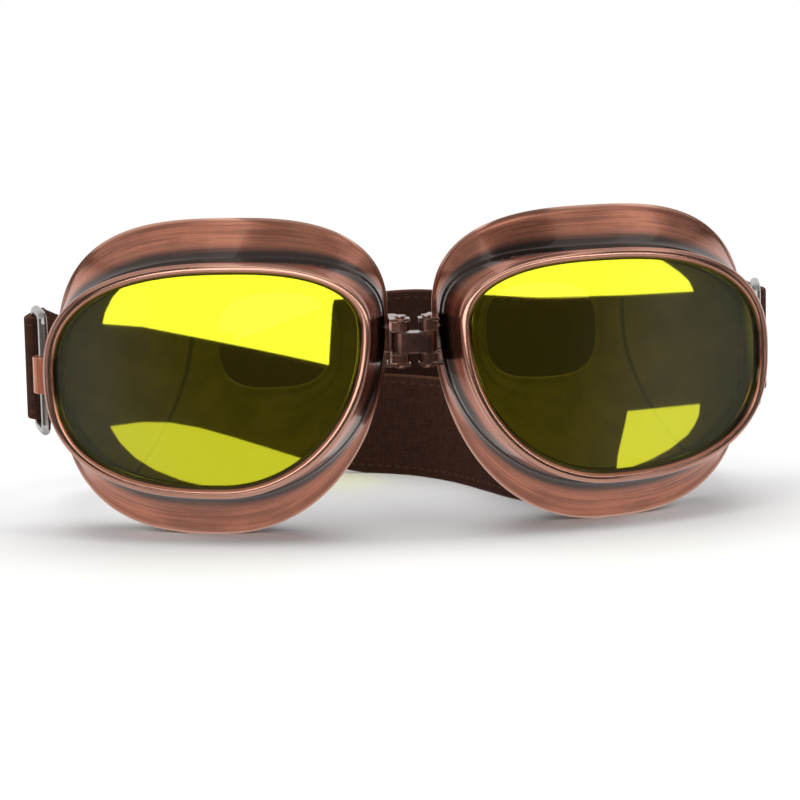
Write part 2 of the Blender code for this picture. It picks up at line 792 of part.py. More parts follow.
def pad_height(turn):
    return PAD_HEIGHT * (1.0 - PAD_NOSE_TAPER_SHARE * nose_share(turn))


def pad_crown(turn, share):
    """Point of the cushion's crown, share of the way from the brim to the eye hole."""
    outer = at_brim(turn, -PAD_SHOULDER_INSET, PAD_SEAT + pad_height(turn))
    inner = at_eye(turn, PAD_EYE_SHOULDER[0], BOARD_THICKNESS + PAD_EYE_RISE)
    return outer.lerp(inner, share)


def face_pad(turns, pivot, side, name):
    behind = BOARD_THICKNESS + FIT_GAP
    places = [
        lambda t: at_eye(t, PAD_EYE_FOOT, behind),
        lambda t: board_edge(t, behind),
        lambda t: on_flare(t, FLARE_SHARES[1], BRIM_SHEET + PAD_GAP),
        lambda t: at_brim(t, -PAD_INSET, PAD_SEAT),
        lambda t: at_brim(t, -PAD_BULGE_INSET - PAD_NOSE_INSET * nose_share(t) / 2,
                          PAD_SEAT + pad_height(t) * PAD_SIDE_SHARE),
        lambda t: at_brim(t, -PAD_SHOULDER_INSET - PAD_NOSE_INSET * nose_share(t),
                          PAD_SEAT + pad_height(t) * PAD_SHOULDER_SHARE),
        lambda t: pad_crown(t, PAD_CROWN_SHARES[0]),
        lambda t: pad_crown(t, PAD_CROWN_SHARES[1]),
        lambda t: at_eye(t, PAD_EYE_SHOULDER[0], BOARD_THICKNESS + PAD_EYE_SHOULDER[1]),
        lambda t: at_eye(t, PAD_EYE_SIDE[0], BOARD_THICKNESS + PAD_EYE_SIDE[1]),
    ]
    add_body(name + "_face_pad", ring_loft(rings_of(turns, places)), "brown_leather", pivot, side)


# Nose hinge

def nose_link(root):
    low, high = hinge_levels()[1]
    right = arc((PIN_X, PIN_Y), KNUCKLE_RADIUS, 9, -math.pi / 2, math.pi)
    left = arc((-PIN_X, PIN_Y), KNUCKLE_RADIUS, 9, math.pi / 2, math.pi)
    body = add_body("nose_link", plate(right + left, low, high), "copper", root, 1)
    soften(body, SOFT_EDGE)
    bores = [moved(pin_bore(low, high), hand * PIN_X, PIN_Y, 0.0) for hand in (-1, 1)]
    combine(body, joined(bores), "DIFFERENCE", "pin_bores", 1)


def pin_bore(low, high):
    return cylinder(PIN_RADIUS + TURN_GAP, low - OVERRUN, high + OVERRUN, 12)


def hinge_pin(root, side, name):
    low, high = hinge_levels()[0][0] - FIT_GAP, hinge_levels()[2][1] + FIT_GAP
    profile = [(PIN_HEAD_RADIUS, low - PIN_HEAD_HEIGHT), (PIN_HEAD_RADIUS, low), (PIN_RADIUS, low),
               (PIN_RADIUS, high), (PIN_HEAD_RADIUS, high), (PIN_HEAD_RADIUS, high + PIN_HEAD_HEIGHT)]
    add_body(name + "_hinge_pin", moved(turned(profile, 12), PIN_X, PIN_Y, 0.0), "copper", root, side)


def hinge_bracket(pivot, side, name):
    lower, _, upper = hinge_levels()
    (outer, inner), (front, back) = bracket_plate()
    sunk = FLANGE_THICKNESS / 2
    upright = box((outer, inner), (front, back), (lower[0] + sunk, upper[1] - sunk))
    body = add_body(name + "_hinge_bracket", upright, "copper", pivot, side)
    knuckle = arc((PIN_X, PIN_Y), KNUCKLE_RADIUS, 11, math.pi / 2, math.pi * KNUCKLE_SWEEP_SHARE)
    arm = knuckle + [(inner - SOFT_EDGE, PIN_Y - ARM_FRONT), (inner - SOFT_EDGE, PIN_Y + ARM_BACK),
                     (outer - SOFT_EDGE, PIN_Y + ARM_BACK)]
    for tag, low, high in (("lower_arm", lower[0] + sunk, lower[1]), ("upper_arm", upper[0], upper[1] - sunk)):
        combine(body, plate(arm, low, high), "UNION", tag, side)
    near = PIN_X - FLANGE_INNER
    for tag, far, low in (("lower_flange", inner + FLANGE_LIP, lower[0]),
                          ("upper_flange", inner + FLANGE_STEP / 4, upper[1] - FLANGE_THICKNESS)):
        outline = [(near, PIN_Y - FLANGE_FRONT), (far, PIN_Y - FLANGE_FRONT), (far, PIN_Y + FLANGE_STEP),
                   (inner - SOFT_EDGE, back - FLANGE_STEP), (outer - FLANGE_STEP / 2, back - FLANGE_STEP),
                   (PIN_X - FLANGE_STEP, PIN_Y + 2 * FLANGE_STEP), (near, PIN_Y + FLANGE_STEP)]
        combine(body, plate(outline, low, low + FLANGE_THICKNESS), "UNION", tag, side)
    pin = moved(pin_bore(lower[0], upper[1]), PIN_X, PIN_Y, 0.0)
    combine(body, joined([pin] + rivet_bores()), "DIFFERENCE", "bores", side)


def bracket_rivets(pivot, side, name):
    """Upper and lower rivet that hold the bracket to the nose side of the cup."""
    outer, inner = bracket_plate()[0]
    start, end = outer - FIT_GAP - RIVET_HEAD_HEIGHT, inner + NOSE_RIVET_GRIP
    profile = [(RIVET_HEAD_RADIUS * 0.7, 0.0), (RIVET_HEAD_RADIUS, RIVET_HEAD_HEIGHT / 2),
               (RIVET_HEAD_RADIUS, RIVET_HEAD_HEIGHT), (RIVET_RADIUS, RIVET_HEAD_HEIGHT),
               (RIVET_RADIUS, end - start)]
    for level, rise in (("lower", -NOSE_RIVET_RISE), ("upper", NOSE_RIVET_RISE)):
        rivet = along_x(turned(profile, 12), start, nose_rivet_y(), hinge_middle() + rise)
        add_body(name + "_" + level + "_rivet", rivet, "copper", pivot, side)


# Temple hardware

def strap_clip(pivot, side, name):
    low, high = temple_z() - CLIP_HEIGHT / 2, temple_z() + CLIP_HEIGHT / 2
    front, heel = tongue_ends()
    barrel = arc(ring_axis(), BARREL_RADIUS, 17, math.tau * TONGUE_ROOT_TURN_SHARE - math.pi / 2,
                 math.tau * (1.0 - TONGUE_HEEL_TURN_SHARE))
    outline = barrel + [heel, front, (front[0] + TONGUE_THICKNESS, front[1]),
                        (heel[0] + TONGUE_THICKNESS, heel[1] - TONGUE_THICKNESS)]
    body = add_body(name + "_strap_clip", plate(outline, low, high), "copper", pivot, side)
    soften(body, SOFT_EDGE)
    bore = moved(cylinder(WIRE_RADIUS + TURN_GAP, low - OVERRUN, high + OVERRUN, 14), *ring_axis(), 0.0)
    combine(body, joined([bore, clip_bore()]), "DIFFERENCE", "bores", side)


def clip_backplate(pivot, side, name):
    half = BACKPLATE_HEIGHT / 2
    across, along = backplate()
    body = add_body(name + "_clip_backplate", box(across, along, (temple_z() - half, temple_z() + half)),
                    "copper", pivot, side)
    combine(body, clip_bore(), "DIFFERENCE", "bore", side)


def clip_rivet(pivot, side, name):
    start = backplate()[0][0] - FIT_GAP - RIVET_HEAD_HEIGHT
    length = tongue_ends()[0][0] + TONGUE_THICKNESS + FIT_GAP / 2 - start
    profile = [(CLIP_RIVET_RADIUS * 1.5, 0.0), (CLIP_RIVET_RADIUS * 1.5, RIVET_HEAD_HEIGHT),
               (CLIP_RIVET_RADIUS, RIVET_HEAD_HEIGHT), (CLIP_RIVET_RADIUS, length),
               (CLIP_RIVET_HEAD, length), (CLIP_RIVET_HEAD * 0.75, length + RIVET_HEAD_HEIGHT)]
    rivet = along_x(turned(profile, 12), start, clip_rivet_y(), temple_z())
    add_body(name + "_clip_rivet", rivet, "copper", pivot, side)


def strap_ring(pivot, side, name):
    """Wire bent to a rounded rectangle: front bar on the joint axis, rear bar in the strap."""
    across = Vector((RING_SPREAD, RING_LENGTH, 0.0))
    length, across = across.length, across.normalized()
    up = Vector((0.0, 0.0, 1.0))
    start = Vector(ring_axis() + (temple_z(),))
    straight = ring_half_height() - RING_CORNER
    corners = [(length - RING_CORNER, straight, 0.0), (RING_CORNER, straight, math.pi / 2),
               (RING_CORNER, -straight, math.pi), (length - RING_CORNER, -straight, math.pi * 3 / 2)]
    points = []
    for along, high, first in corners:
        for step in range(4):
            turn = first + math.pi / 2 * step / 3
            away = across * math.cos(turn) + up * math.sin(turn)
            points.append(start + across * along + up * high + away * RING_CORNER)
    add_body(name + "_strap_ring", wire_loop(points, WIRE_RADIUS), "bright_steel", pivot, side)


# Strap

def band(stations, headings=None):
    """Strip of webbing through (x, y, bottom height, lean) stations, closed at both ends."""
    points, faces = [], []
    last = len(stations) - 1
    for index, (x, y, z, lean) in enumerate(stations):
        before, after = stations[max(index - 1, 0)], stations[min(index + 1, last)]
        if headings:
            before, after = headings[index]
        along = Vector((after[0] - before[0], after[1] - before[1])).normalized()
        normal = Vector((-along.y, along.x))
        rise = STRAP_WIDTH / math.sqrt(1.0 + lean * lean)
        for high, half in ((0.0, -0.5), (0.0, 0.5), (rise, 0.5), (rise, -0.5)):
            shift = normal * (half * STRAP_THICKNESS + lean * high)
            points.append(Vector((x + shift.x, y + shift.y, z + high)))
    for index in range(last):
        start = index * 4
        for corner in range(4):
            after = (corner + 1) % 4
            faces.append((start + corner, start + 4 + corner, start + 4 + after, start + after))
    faces += [(0, 1, 2, 3), (last * 4 + 3, last * 4 + 2, last * 4 + 1, last * 4)]
    return loft(points, faces)


def smooth_path(knots, where):
    """Point of the smooth curve through the knots; whole numbers fall on the knots."""
    index = min(int(where), len(knots) - 2)
    part = where - index
    picks = [Vector(knots[max(0, min(len(knots) - 1, index + step))]) for step in (-1, 0, 1, 2)]
    first = (picks[2] - picks[0]) / 2
    second = (picks[3] - picks[1]) / 2
    cube, square = part ** 3, part ** 2
    return (picks[1] * (2 * cube - 3 * square + 1) + first * (cube - 2 * square + part)
            + picks[2] * (3 * square - 2 * cube) + second * (cube - square))


def path_piece(knots, start, end, steps):
    """Webbing from one knot to another, held half a layer gap short at both ends."""
    def pace(where):
        ahead, behind = smooth_path(knots, where + NUDGE_SHARE), smooth_path(knots, where - NUDGE_SHARE)
        return (ahead - behind).length / (2 * NUDGE_SHARE)
    low = start + LAYER_GAP / 2 / pace(start + NUDGE_SHARE)
    high = end - LAYER_GAP / 2 / pace(end - NUDGE_SHARE)
    places = [low + (high - low) * step / steps for step in range(steps + 1)]
    stations = [smooth_path(knots, place) for place in places]
    headings = [(smooth_path(knots, place - NUDGE_SHARE), smooth_path(knots, place + NUDGE_SHARE))
                for place in places]
    return band([(x, y, max(0.0, z), lean) for x, y, z, lean in stations], headings)


def tail_point(side, along, off):
    """Place beside the rear bar: along runs away from the bar, off is towards the outside."""
    lean = math.atan(TAIL_LEAN_SHARE)
    rear_x, rear_y = ring_rear()
    back, out = (-math.sin(lean), math.cos(lean)), (math.cos(lean), math.sin(lean))
    return (side * (rear_x + along * back[0] + off * out[0]), rear_y + along * back[1] + off * out[1],
            ring_strap_z(), 0.0)


def layer_step():
    return STRAP_THICKNESS + LAYER_GAP


def strap_fold(pivot, side, name):
    reach = WIRE_RADIUS + FIT_GAP + STRAP_THICKNESS / 2
    half = layer_step() / 2
    end = TAIL_LENGTH - LAYER_GAP / 2
    stations = [tail_point(1, end, -half), tail_point(1, TAIL_CLOSE, -half),
                tail_point(1, TAIL_CLOSE / 2, -(half + reach) / 2)]
    for step in range(9):
        turn = math.pi + math.pi * step / 8
        stations.append(tail_point(1, reach * math.sin(turn), reach * math.cos(turn)))
    stations += [tail_point(1, TAIL_CLOSE / 2, (half + reach) / 2), tail_point(1, TAIL_CLOSE, half),
                 tail_point(1, end, half)]
    add_body(name + "_strap_fold", band(stations), "brown_webbing", pivot, side)


def routed(shares):
    """Stations of the strap from their shares."""
    rear_x, rear_y = ring_rear()
    deep, tall = STRAP_BACK - rear_y, ring_strap_z()
    return [(rear_x * x, rear_y + deep * y, tall * z, lean) for x, y, z, lean in shares]


def slider_middle():
    rear_x, rear_y = ring_rear()
    return rear_x * SLIDER_X_SHARE, rear_y + (STRAP_BACK - rear_y) * SLIDER_Y_SHARE


def at_slider(s, n):
    x, y = slider_middle()
    c, d = math.cos(math.tau * SLIDER_TURN_SHARE), math.sin(math.tau * SLIDER_TURN_SHARE)
    return x + s * c - n * d, y + s * d + n * c


def slider_offsets():
    """Distances of the slider's stack from the strap line: middle bar, loop, outer layer."""
    wrap = SLIDER_BAR + FIT_GAP + STRAP_THICKNESS / 2
    bar = wrap - 2 * layer_step()
    return bar, wrap, bar + wrap + layer_step()


def outer_path():
    bulge = slider_offsets()[2]
    half = layer_step() / 2
    over = [at_slider(s, n) + (SLIDER_STRAP_Z, 0.0)
            for s, n in ((-SLIDER_REACH, 0.0), (0.0, bulge), (SLIDER_REACH, 0.0))]
    return ([tail_point(-1, TAIL_LENGTH, half)] + routed(OUTER_LEFT_SHARES) + over + routed(OUTER_BACK_SHARES)
            + routed(OUTER_RIGHT_SHARES) + [tail_point(1, TAIL_LENGTH, half)])


def inner_path():
    start = at_slider(LOOP_LENGTH, -2 * layer_step()) + (SLIDER_STRAP_Z - LOOP_DROP, 0.0)
    return ([start] + routed(INNER_BACK_SHARES) + routed(INNER_RIGHT_SHARES)
            + [tail_point(1, TAIL_LENGTH, -layer_step() / 2)])


def strap_layers(root):
    outer = outer_path()
    back_start = len(OUTER_LEFT_SHARES) + 4
    back_end = back_start + len(OUTER_BACK_SHARES) - 1
    inner = inner_path()
    inner_end = len(INNER_BACK_SHARES)
    pieces = (("left_strap_run", outer, 0, back_start, 24),
              ("strap_outer_layer", outer, back_start, back_end, 14),
              ("right_outer_run", outer, back_end, len(outer) - 1, 16),
              ("strap_inner_layer", inner, 0, inner_end, 22),
              ("right_inner_run", inner, inner_end, len(inner) - 1, 27))
    for name, knots, start, end, steps in pieces:
        add_body(name, path_piece(knots, start, end, steps), "brown_webbing", root, 1)


def strap_end_loop(slider):
    """Sewn end of the inner layer, wrapped round the slider's middle bar."""
    bar, wrap, _ = slider_offsets()
    tail, main = -layer_step(), -2 * layer_step()
    places = [(LOOP_LENGTH * 0.9, tail), (SLIDER_REACH * 0.6, tail), (SLIDER_REACH * 0.3, bar + wrap * 0.8)]
    for step in range(7):
        turn = math.pi / 2 + math.pi * step / 6
        places.append((wrap * math.cos(turn), bar + wrap * math.sin(turn)))
    places += [(LOOP_LEVEL, main), (LOOP_LENGTH - LAYER_GAP / 2, main)]
    stations = []
    for index, (s, n) in enumerate(places):
        drop = LOOP_DROP * max(0.0, s - LOOP_LEVEL) / (LOOP_LENGTH - LOOP_LEVEL)
        stations.append(at_slider(s, n) + (SLIDER_STRAP_Z - drop, 0.0))
    add_body("strap_end_loop", band(stations), "brown_webbing", slider, 1)


def strap_slider(slider):
    bar = slider_offsets()[0]
    side_bar = STRAP_THICKNESS / 2 + FIT_GAP + SLIDER_BAR
    low, high = SLIDER_STRAP_Z - SLIDER_CLEAR, SLIDER_STRAP_Z + STRAP_WIDTH + SLIDER_CLEAR
    reach, near, far = SLIDER_HALF + SLIDER_BAR, bar - SLIDER_BAR, side_bar + SLIDER_BAR
    outline = [at_slider(s, n) for s, n in ((-reach, near), (reach, near), (reach, far), (-reach, far))]
    ends = joined([plate(outline, low - SLIDER_END, low), plate(outline, high, high + SLIDER_END)])
    body = add_body("strap_slider", ends, "copper", slider, 1)
    soften(body, SOFT_EDGE)
    sunk = SLIDER_END / 2
    bars = []
    for s, n in ((-SLIDER_HALF, side_bar), (0.0, bar), (SLIDER_HALF, side_bar)):
        bar_wire = cylinder(SLIDER_BAR * SLIDER_WIRE_SHARE, low - sunk, high + sunk, 10)
        bars.append(moved(bar_wire, *at_slider(s, n), 0.0))
    combine(body, joined(bars), "UNION", "bars", 1)


def stand_on_origin(root):
    """Move everything so that it stands on z = 0, evenly in front of and behind the origin."""
    bpy.context.view_layer.update()
    corners = [body.matrix_world @ Vector(corner) for body in goggles.objects if body.type == "MESH"
               for corner in body.bound_box]
    reach = [corner.y for corner in corners]
    root.location.y = -(min(reach) + max(reach)) / 2
    root.location.z = -min(corner.z for corner in corners)


clear_scene()
goggles = make_collection("pilot_goggles")
cutters = make_collection("cutters")
frame_root = add_pivot("goggles_frame", (0.0, 0.0, 0.0), None)
station_turns = pick_turns(rim_line())
for hand, hand_name in ((-1, "left"), (1, "right")):
    eyepiece = add_pivot(hand_name + "_eyepiece_pivot", (hand * PIN_X, PIN_Y, hinge_middle()), frame_root)
    for build in (lens_frame, eyecup, lens, lens_gasket, pad_board, face_pad):
        build(station_turns, eyepiece, hand, hand_name)
    for build in (hinge_bracket, bracket_rivets, strap_clip, clip_backplate, clip_rivet):
        build(eyepiece, hand, hand_name)
    ring_place = (hand * ring_axis()[0], ring_axis()[1], temple_z())
    ring_pivot = add_pivot(hand_name + "_ring_pivot", ring_place, eyepiece)
    strap_ring(ring_pivot, hand, hand_name)
    strap_fold(ring_pivot, hand, hand_name)
    hinge_pin(frame_root, hand, hand_name)
nose_link(frame_root)
strap_layers(frame_root)
slider_pivot = add_pivot("slider_pivot", slider_middle() + (SLIDER_STRAP_Z,), frame_root)
strap_slider(slider_pivot)
strap_end_loop(slider_pivot)
stand_on_origin(frame_root)
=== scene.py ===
"""Dresses the pilot goggles: fine copper forms, tinted lenses, soft pads, webbing and a studio.

+X is the viewer's right, +Y runs away from the viewer, +Z is up; lengths are metres. The right
eyepiece is described and the left one is its mirror image.
"""

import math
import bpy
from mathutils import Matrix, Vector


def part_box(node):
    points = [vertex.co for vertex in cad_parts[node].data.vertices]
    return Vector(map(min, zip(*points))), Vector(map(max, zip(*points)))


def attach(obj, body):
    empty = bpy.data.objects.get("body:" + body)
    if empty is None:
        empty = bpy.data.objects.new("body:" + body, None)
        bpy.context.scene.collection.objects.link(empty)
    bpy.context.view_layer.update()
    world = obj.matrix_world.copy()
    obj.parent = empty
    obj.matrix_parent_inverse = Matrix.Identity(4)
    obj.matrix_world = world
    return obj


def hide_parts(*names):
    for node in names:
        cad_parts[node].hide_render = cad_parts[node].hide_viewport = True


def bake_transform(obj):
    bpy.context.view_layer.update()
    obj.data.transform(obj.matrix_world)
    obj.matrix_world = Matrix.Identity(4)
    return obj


bl_info = {
    "name": "Pilot Goggles",
    "version": (1, 0, 0),
    "blender": (4, 5, 0),
    "location": "View3D > Sidebar > Goggles",
    "description": "Fine forms and finishes for a pair of pilot goggles, and the studio round them",
    "category": "Add Mesh",
}

import bmesh
import bpy
from bpy.props import FloatProperty, FloatVectorProperty, IntProperty, PointerProperty
from mathutils import Matrix, Vector, noise

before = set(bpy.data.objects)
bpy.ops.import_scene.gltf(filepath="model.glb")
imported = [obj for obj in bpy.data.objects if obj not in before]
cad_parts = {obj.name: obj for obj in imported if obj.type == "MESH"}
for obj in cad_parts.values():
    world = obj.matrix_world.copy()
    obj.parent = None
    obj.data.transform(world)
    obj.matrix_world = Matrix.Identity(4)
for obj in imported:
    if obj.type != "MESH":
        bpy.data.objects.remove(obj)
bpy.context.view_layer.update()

# Extremes of the right eyepiece's rim, as (x, z)
RIM_TOP = (0.047, 0.0731)
RIM_TEMPLE = (0.094, 0.0425)
RIM_BOTTOM = (0.050, 0.0123)
RIM_NOSE = (0.0112, 0.054)
# How far the wall's extremes lie from the rim's, and the brim's from the wall's, in the same order
WALL_SHIFTS = ((-0.001, -0.0005), (-0.0025, -0.0005), (0.0, -0.0008), (-0.0037, 0.0))
BRIM_SHIFTS = ((-0.002, 0.0097), (-0.0015, -0.0005), (0.0, -0.0115), (-0.0019, 0.0025))
EYE_MIDDLE = (0.0345, 0.0495)
EYE_HALF_WIDTH = 0.0142
EYE_HALF_HEIGHT = 0.0123
RIM_FULLNESS_SHARES = (2.4, 2.4, 2.0, 2.6)
WALL_FULLNESS_SHARES = (2.4, 2.9, 2.1, 2.5)
BRIM_FULLNESS_SHARES = (2.85, 2.5, 2.15, 2.8)
EYE_FULLNESS_SHARES = (3.0, 3.0, 3.0, 3.0)
DENSE_STEPS = 1440
CORNER_WEIGHT = 0.016
NUDGE_SHARE = 0.0005

# Bends of the lens and of the brim, and the hinge pin that the drawing is laid out from
LENS_BEND = 0.110
LENS_CENTRE_X = 0.028
LENS_CENTRE_Z = 0.043
LENS_BOWL_RADIUS = 0.4545
BRIM_BEND = 0.130
BRIM_CENTRE_X = 0.020
BRIM_BACK = 0.015
PIN_Y = 0.007

# Lens frame, eyecup and what they hold
FIT_GAP = 0.0003
SEAT_GAP = 0.00035
ROLL_RADIUS = 0.0013
ROLL_FLAT_SHARE = 0.86
ROLL_STEPS = 14
ROLL_ARC_SHARE = 0.86
ROLL_BACK_SHARE = 0.72
LIP_WIDTH = 0.0031
LIP_EDGE = 0.0013
SEAT_INSET = 0.0016
LIP_BACK = 0.0019
SEAT_END = 0.0036
WALL_DEPTH = 0.007
WALL_NOSE_EXTRA = 0.001
WALL_TOP_LESS = 0.001
WALL_THICKNESS = 0.0014
WALL_STEPS = 10
LENS_THICKNESS = 0.0016
LENS_RINGS = 24
LENS_RING_SHARE = 0.04
LENS_TIP_SHARE = 0.03
LENS_SHARP_ANGLE = 40.0
SPIGOT_REACH = 0.0006
SPIGOT_THICKNESS = 0.00105
SPIGOT_BACK = 0.0022
GROOVE_WIDTH = 0.0009
GROOVE_FLOOR = 0.0005
CUP_LAND = (0.0012, 0.0024)
FLARE_OUT_POWER = 1.3
FLARE_BACK_POWER = 1.3
FLARE_STEPS = 18
FLARE_DARK_SHARE = 0.75
FLARE_BACK_SHARES = (0.67, 0.5, 0.33, 0.15)
BRIM_SHEET = 0.0011
EDGE_ROLL_RADIUS = 0.0008
EDGE_ROLL_STEPS = 8
VENT_COUNT = 3
VENT_FIRST_BACK = 0.0228
VENT_PITCH = 0.0037
VENT_LENGTH = 0.0018
VENT_DEEP = 0.0014
VENT_TALL = 0.0035
BOARD_INSET = 0.0018
BOARD_TEMPLE_INSET = 0.0007
BOARD_TEMPLE_DROP = 0.0038
BOARD_THICKNESS = 0.0012
BOARD_STEPS = 24
BOARD_PUFF = 0.0005
HOLE_ROLL = 0.0013
HOLE_ROLL_START = 0.78
EYE_DEPTH = 0.0215
PAD_GAP = 0.0006
PAD_INSET = 0.0028
PAD_SEAT = 0.0019
PAD_BULGE_INSET = 0.0016
PAD_HEIGHT = 0.0105
PAD_NOSE_TAPER_SHARE = 0.5
PAD_SHOULDER_INSET = 0.0032
PAD_NOSE_INSET = 0.0035
PAD_EYE_RISE = 0.0080
PAD_EYE_SHOULDER = (0.0016, 0.0052)
PAD_EYE_SIDE = (0.0007, 0.0026)
PAD_EYE_FOOT = 0.0008
PAD_EYE_ROUND = 0.0010
PAD_SIDE_SHARES = (0.08, 0.2, 0.34, 0.48, 0.62, 0.75, 0.87, 0.95)
PAD_SWELL_TURNS = 1.25
PAD_SWELL_SHARE = 0.9
PAD_LEAN_START = 0.55
PAD_TURN_IN = 0.0012
PAD_TURN_IN_START = 0.7
PAD_TURN_IN_RISE = 11.0
PAD_CROWN_STEPS = 12
PAD_CROWN_RISE = 0.0011
PAD_SEAM_STEP = 5
PAD_SEAM_DEPTH = 0.0007
# Small dents of the pad: how close together and how deep
PAD_DENTS = ((130.0, 0.00035), (420.0, 0.00012))

# Rings and strap; the stations are shares, as in the model's own source
STRAP_WIDTH = 0.0274
STRAP_THICKNESS = 0.0015
LAYER_GAP = 0.0003
WIRE_RADIUS = 0.00125
TAIL_LENGTH = 0.012
TAIL_CLOSE = 0.0075
TAIL_LEAN_SHARE = 0.10
STRAP_BACK = 0.0975
SLIDER_X_SHARE = -0.525
SLIDER_Y_SHARE = 0.853
SLIDER_TURN_SHARE = 0.016
SLIDER_STRAP_Z = 0.0105
SLIDER_BAR = 0.0009
SLIDER_REACH = 0.0090
LOOP_LENGTH = 0.014
LOOP_LEVEL = 0.0094
LOOP_DROP = 0.0012
FOLD_STEPS = 12
LOOP_STEPS = 8
EDGE_STEPS = 4
FACE_SHARES = (0.90, 0.7, 0.5, 0.3, 0.1)
STRAP_SHARP_ANGLE = 60.0
PATH_CHECKS = 200
LEAST_STEPS = 6
OUTER_LEFT_SHARES = ((-0.981, 0.486, 0.925, 0.0), (-0.902, 0.686, 0.736, 0.0), (-0.776, 0.801, 0.528, 0.0))
OUTER_BACK_SHARES = ((-0.262, 0.943, 0.566, 0.0), (-0.084, 0.994, 0.760, 0.0), (0.084, 1.0, 0.815, 0.0),
                     (0.252, 0.969, 0.765, 0.0), (0.441, 0.906, 0.698, 0.0))
OUTER_RIGHT_SHARES = ((0.630, 0.822, 0.717, 0.0), (0.797, 0.738, 0.811, 0.0), (0.923, 0.612, 0.925, 0.0),
                      (0.984, 0.444, 0.981, 0.0))
INNER_BACK_SHARES = ((-0.231, 0.849, 0.132, 0.10), (-0.084, 0.811, 0.008, 0.20), (0.021, 0.727, 0.0, 0.24),
                     (0.105, 0.602, 0.0, 0.24), (0.184, 0.403, 0.0, 0.22), (0.252, 0.151, 0.0, 0.18),
                     (0.315, -0.080, 0.0, 0.12))
INNER_RIGHT_SHARES = ((0.378, -0.195, 0.015, 0.05), (0.472, -0.237, 0.057, 0.0), (0.598, -0.143, 0.189, 0.0),
                      (0.714, 0.067, 0.377, 0.0), (0.803, 0.319, 0.604, 0.0), (0.871, 0.455, 0.774, 0.0),
                      (0.937, 0.434, 0.906, 0.0), (0.971, 0.340, 0.974, 0.0))
# The stretches of each layer, one after the other: name, the knot where it ends, the body that it
# rides or the two that it runs between, and the solid that it stands in for
OUTER_STRETCHES = (("outer_left_ring_webbing", 1.2, ("left_ring", "left_eyepiece"), "left_strap_run"),
                   ("outer_left_cup_webbing", 3.6, ("left_eyepiece", "bridge"), None),
                   ("outer_slider_near_webbing", 5.0, ("bridge", "slider"), None),
                   ("outer_slider_far_webbing", 7.0, ("slider", "bridge"), None),
                   ("outer_back_webbing", 11.0, ("bridge",), "strap_outer_layer"),
                   ("outer_right_cup_webbing", 14.0, ("bridge", "right_eyepiece"), "right_outer_run"),
                   ("outer_right_ring_webbing", 16.0, ("right_eyepiece", "right_ring"), None))
INNER_STRETCHES = (("inner_slider_webbing", 1.5, ("slider", "bridge"), None),
                   ("inner_back_webbing", 4.0, ("bridge",), "strap_inner_layer"),
                   ("inner_right_cup_webbing", 8.5, ("bridge", "right_eyepiece"), "right_inner_run"),
                   ("inner_right_pad_webbing", 12.0, ("right_eyepiece",), None),
                   ("inner_right_ring_webbing", 16.0, ("right_eyepiece", "right_ring"), None))

# Finishes that no setting changes, and the pressed seam across the lining: its (x, z), bow and lean
LENS_BACK_TINT = (0.97, 0.96, 0.85)
RUBBER_TONES = ((0.018, 0.018, 0.017), (0.035, 0.034, 0.032))
WHITE = (1.0, 1.0, 1.0)
SEAM_PLACE = (0.0562, 0.047)
SEAM_BOW = 11.0
SEAM_LEAN = 0.16

# The camera of the photograph, and the outlines of the lamps' gleams on the lenses in its pixels
PICTURE_SIZE = 800
SENSOR_WIDTH = 36.0
FOCAL_PIXELS = 4195.77
CAMERA_DISTANCE = 1.0608
CAMERA_RISE = math.radians(10.889)
CAMERA_SWING = math.radians(-5.282)
CAMERA_ROLL = math.radians(-1.344)
CAMERA_TARGET = (-0.00457, 0.0, 0.03692)
# How far in front of the lenses the gleams' cards stand, and how finely their outlines are followed
GLEAM_STAND_OFF = 0.105
GLEAM_STEPS = 6
LOOK_TRIES = 40
LOOK_SHARE = 0.9
LEFT_UPPER_PIXELS = ((102.5, 323.8), (105, 312.5), (112.5, 297.5), (122.5, 286), (134, 276), (152, 262),
                     (190, 240), (280, 240), (346, 266), (336, 294), (332.5, 305), (330.5, 335),
                     (328.8, 365), (300, 358.5), (217.5, 341.3), (142.5, 326.8))
LEFT_LOWER_PIXELS = ((110, 426.3), (142.5, 422), (170, 422.5), (200, 428), (230, 436.3), (265, 447),
                     (302.5, 458.8), (306, 480), (262, 505), (222.5, 489.5), (205, 486.3), (180, 480),
                     (155, 470), (135, 457.5), (120, 442.5))
RIGHT_UPPER_PIXELS = ((468, 294), (540, 297), (625, 295), (693.8, 291.3), (689, 281), (680, 272.5),
                      (668, 264), (655, 256), (640, 238), (560, 238), (480, 262), (466, 280))
RIGHT_LOWER_PIXELS = ((627.5, 411.3), (700, 403.8), (699, 415), (694, 426), (687.5, 435), (670, 449),
                      (650, 460), (632, 467), (616.3, 473), (618, 455), (621.3, 440), (625, 424))
# The gleams: name, outline, side of the goggles and how bright the lamp is
GLEAMS = (("left_upper_gleam", LEFT_UPPER_PIXELS, -1, 2.3),
          ("left_lower_gleam", LEFT_LOWER_PIXELS, -1, 1.10),
          ("right_upper_gleam", RIGHT_UPPER_PIXELS, 1, 2.3),
          ("right_lower_gleam", RIGHT_LOWER_PIXELS, 1, 1.30))

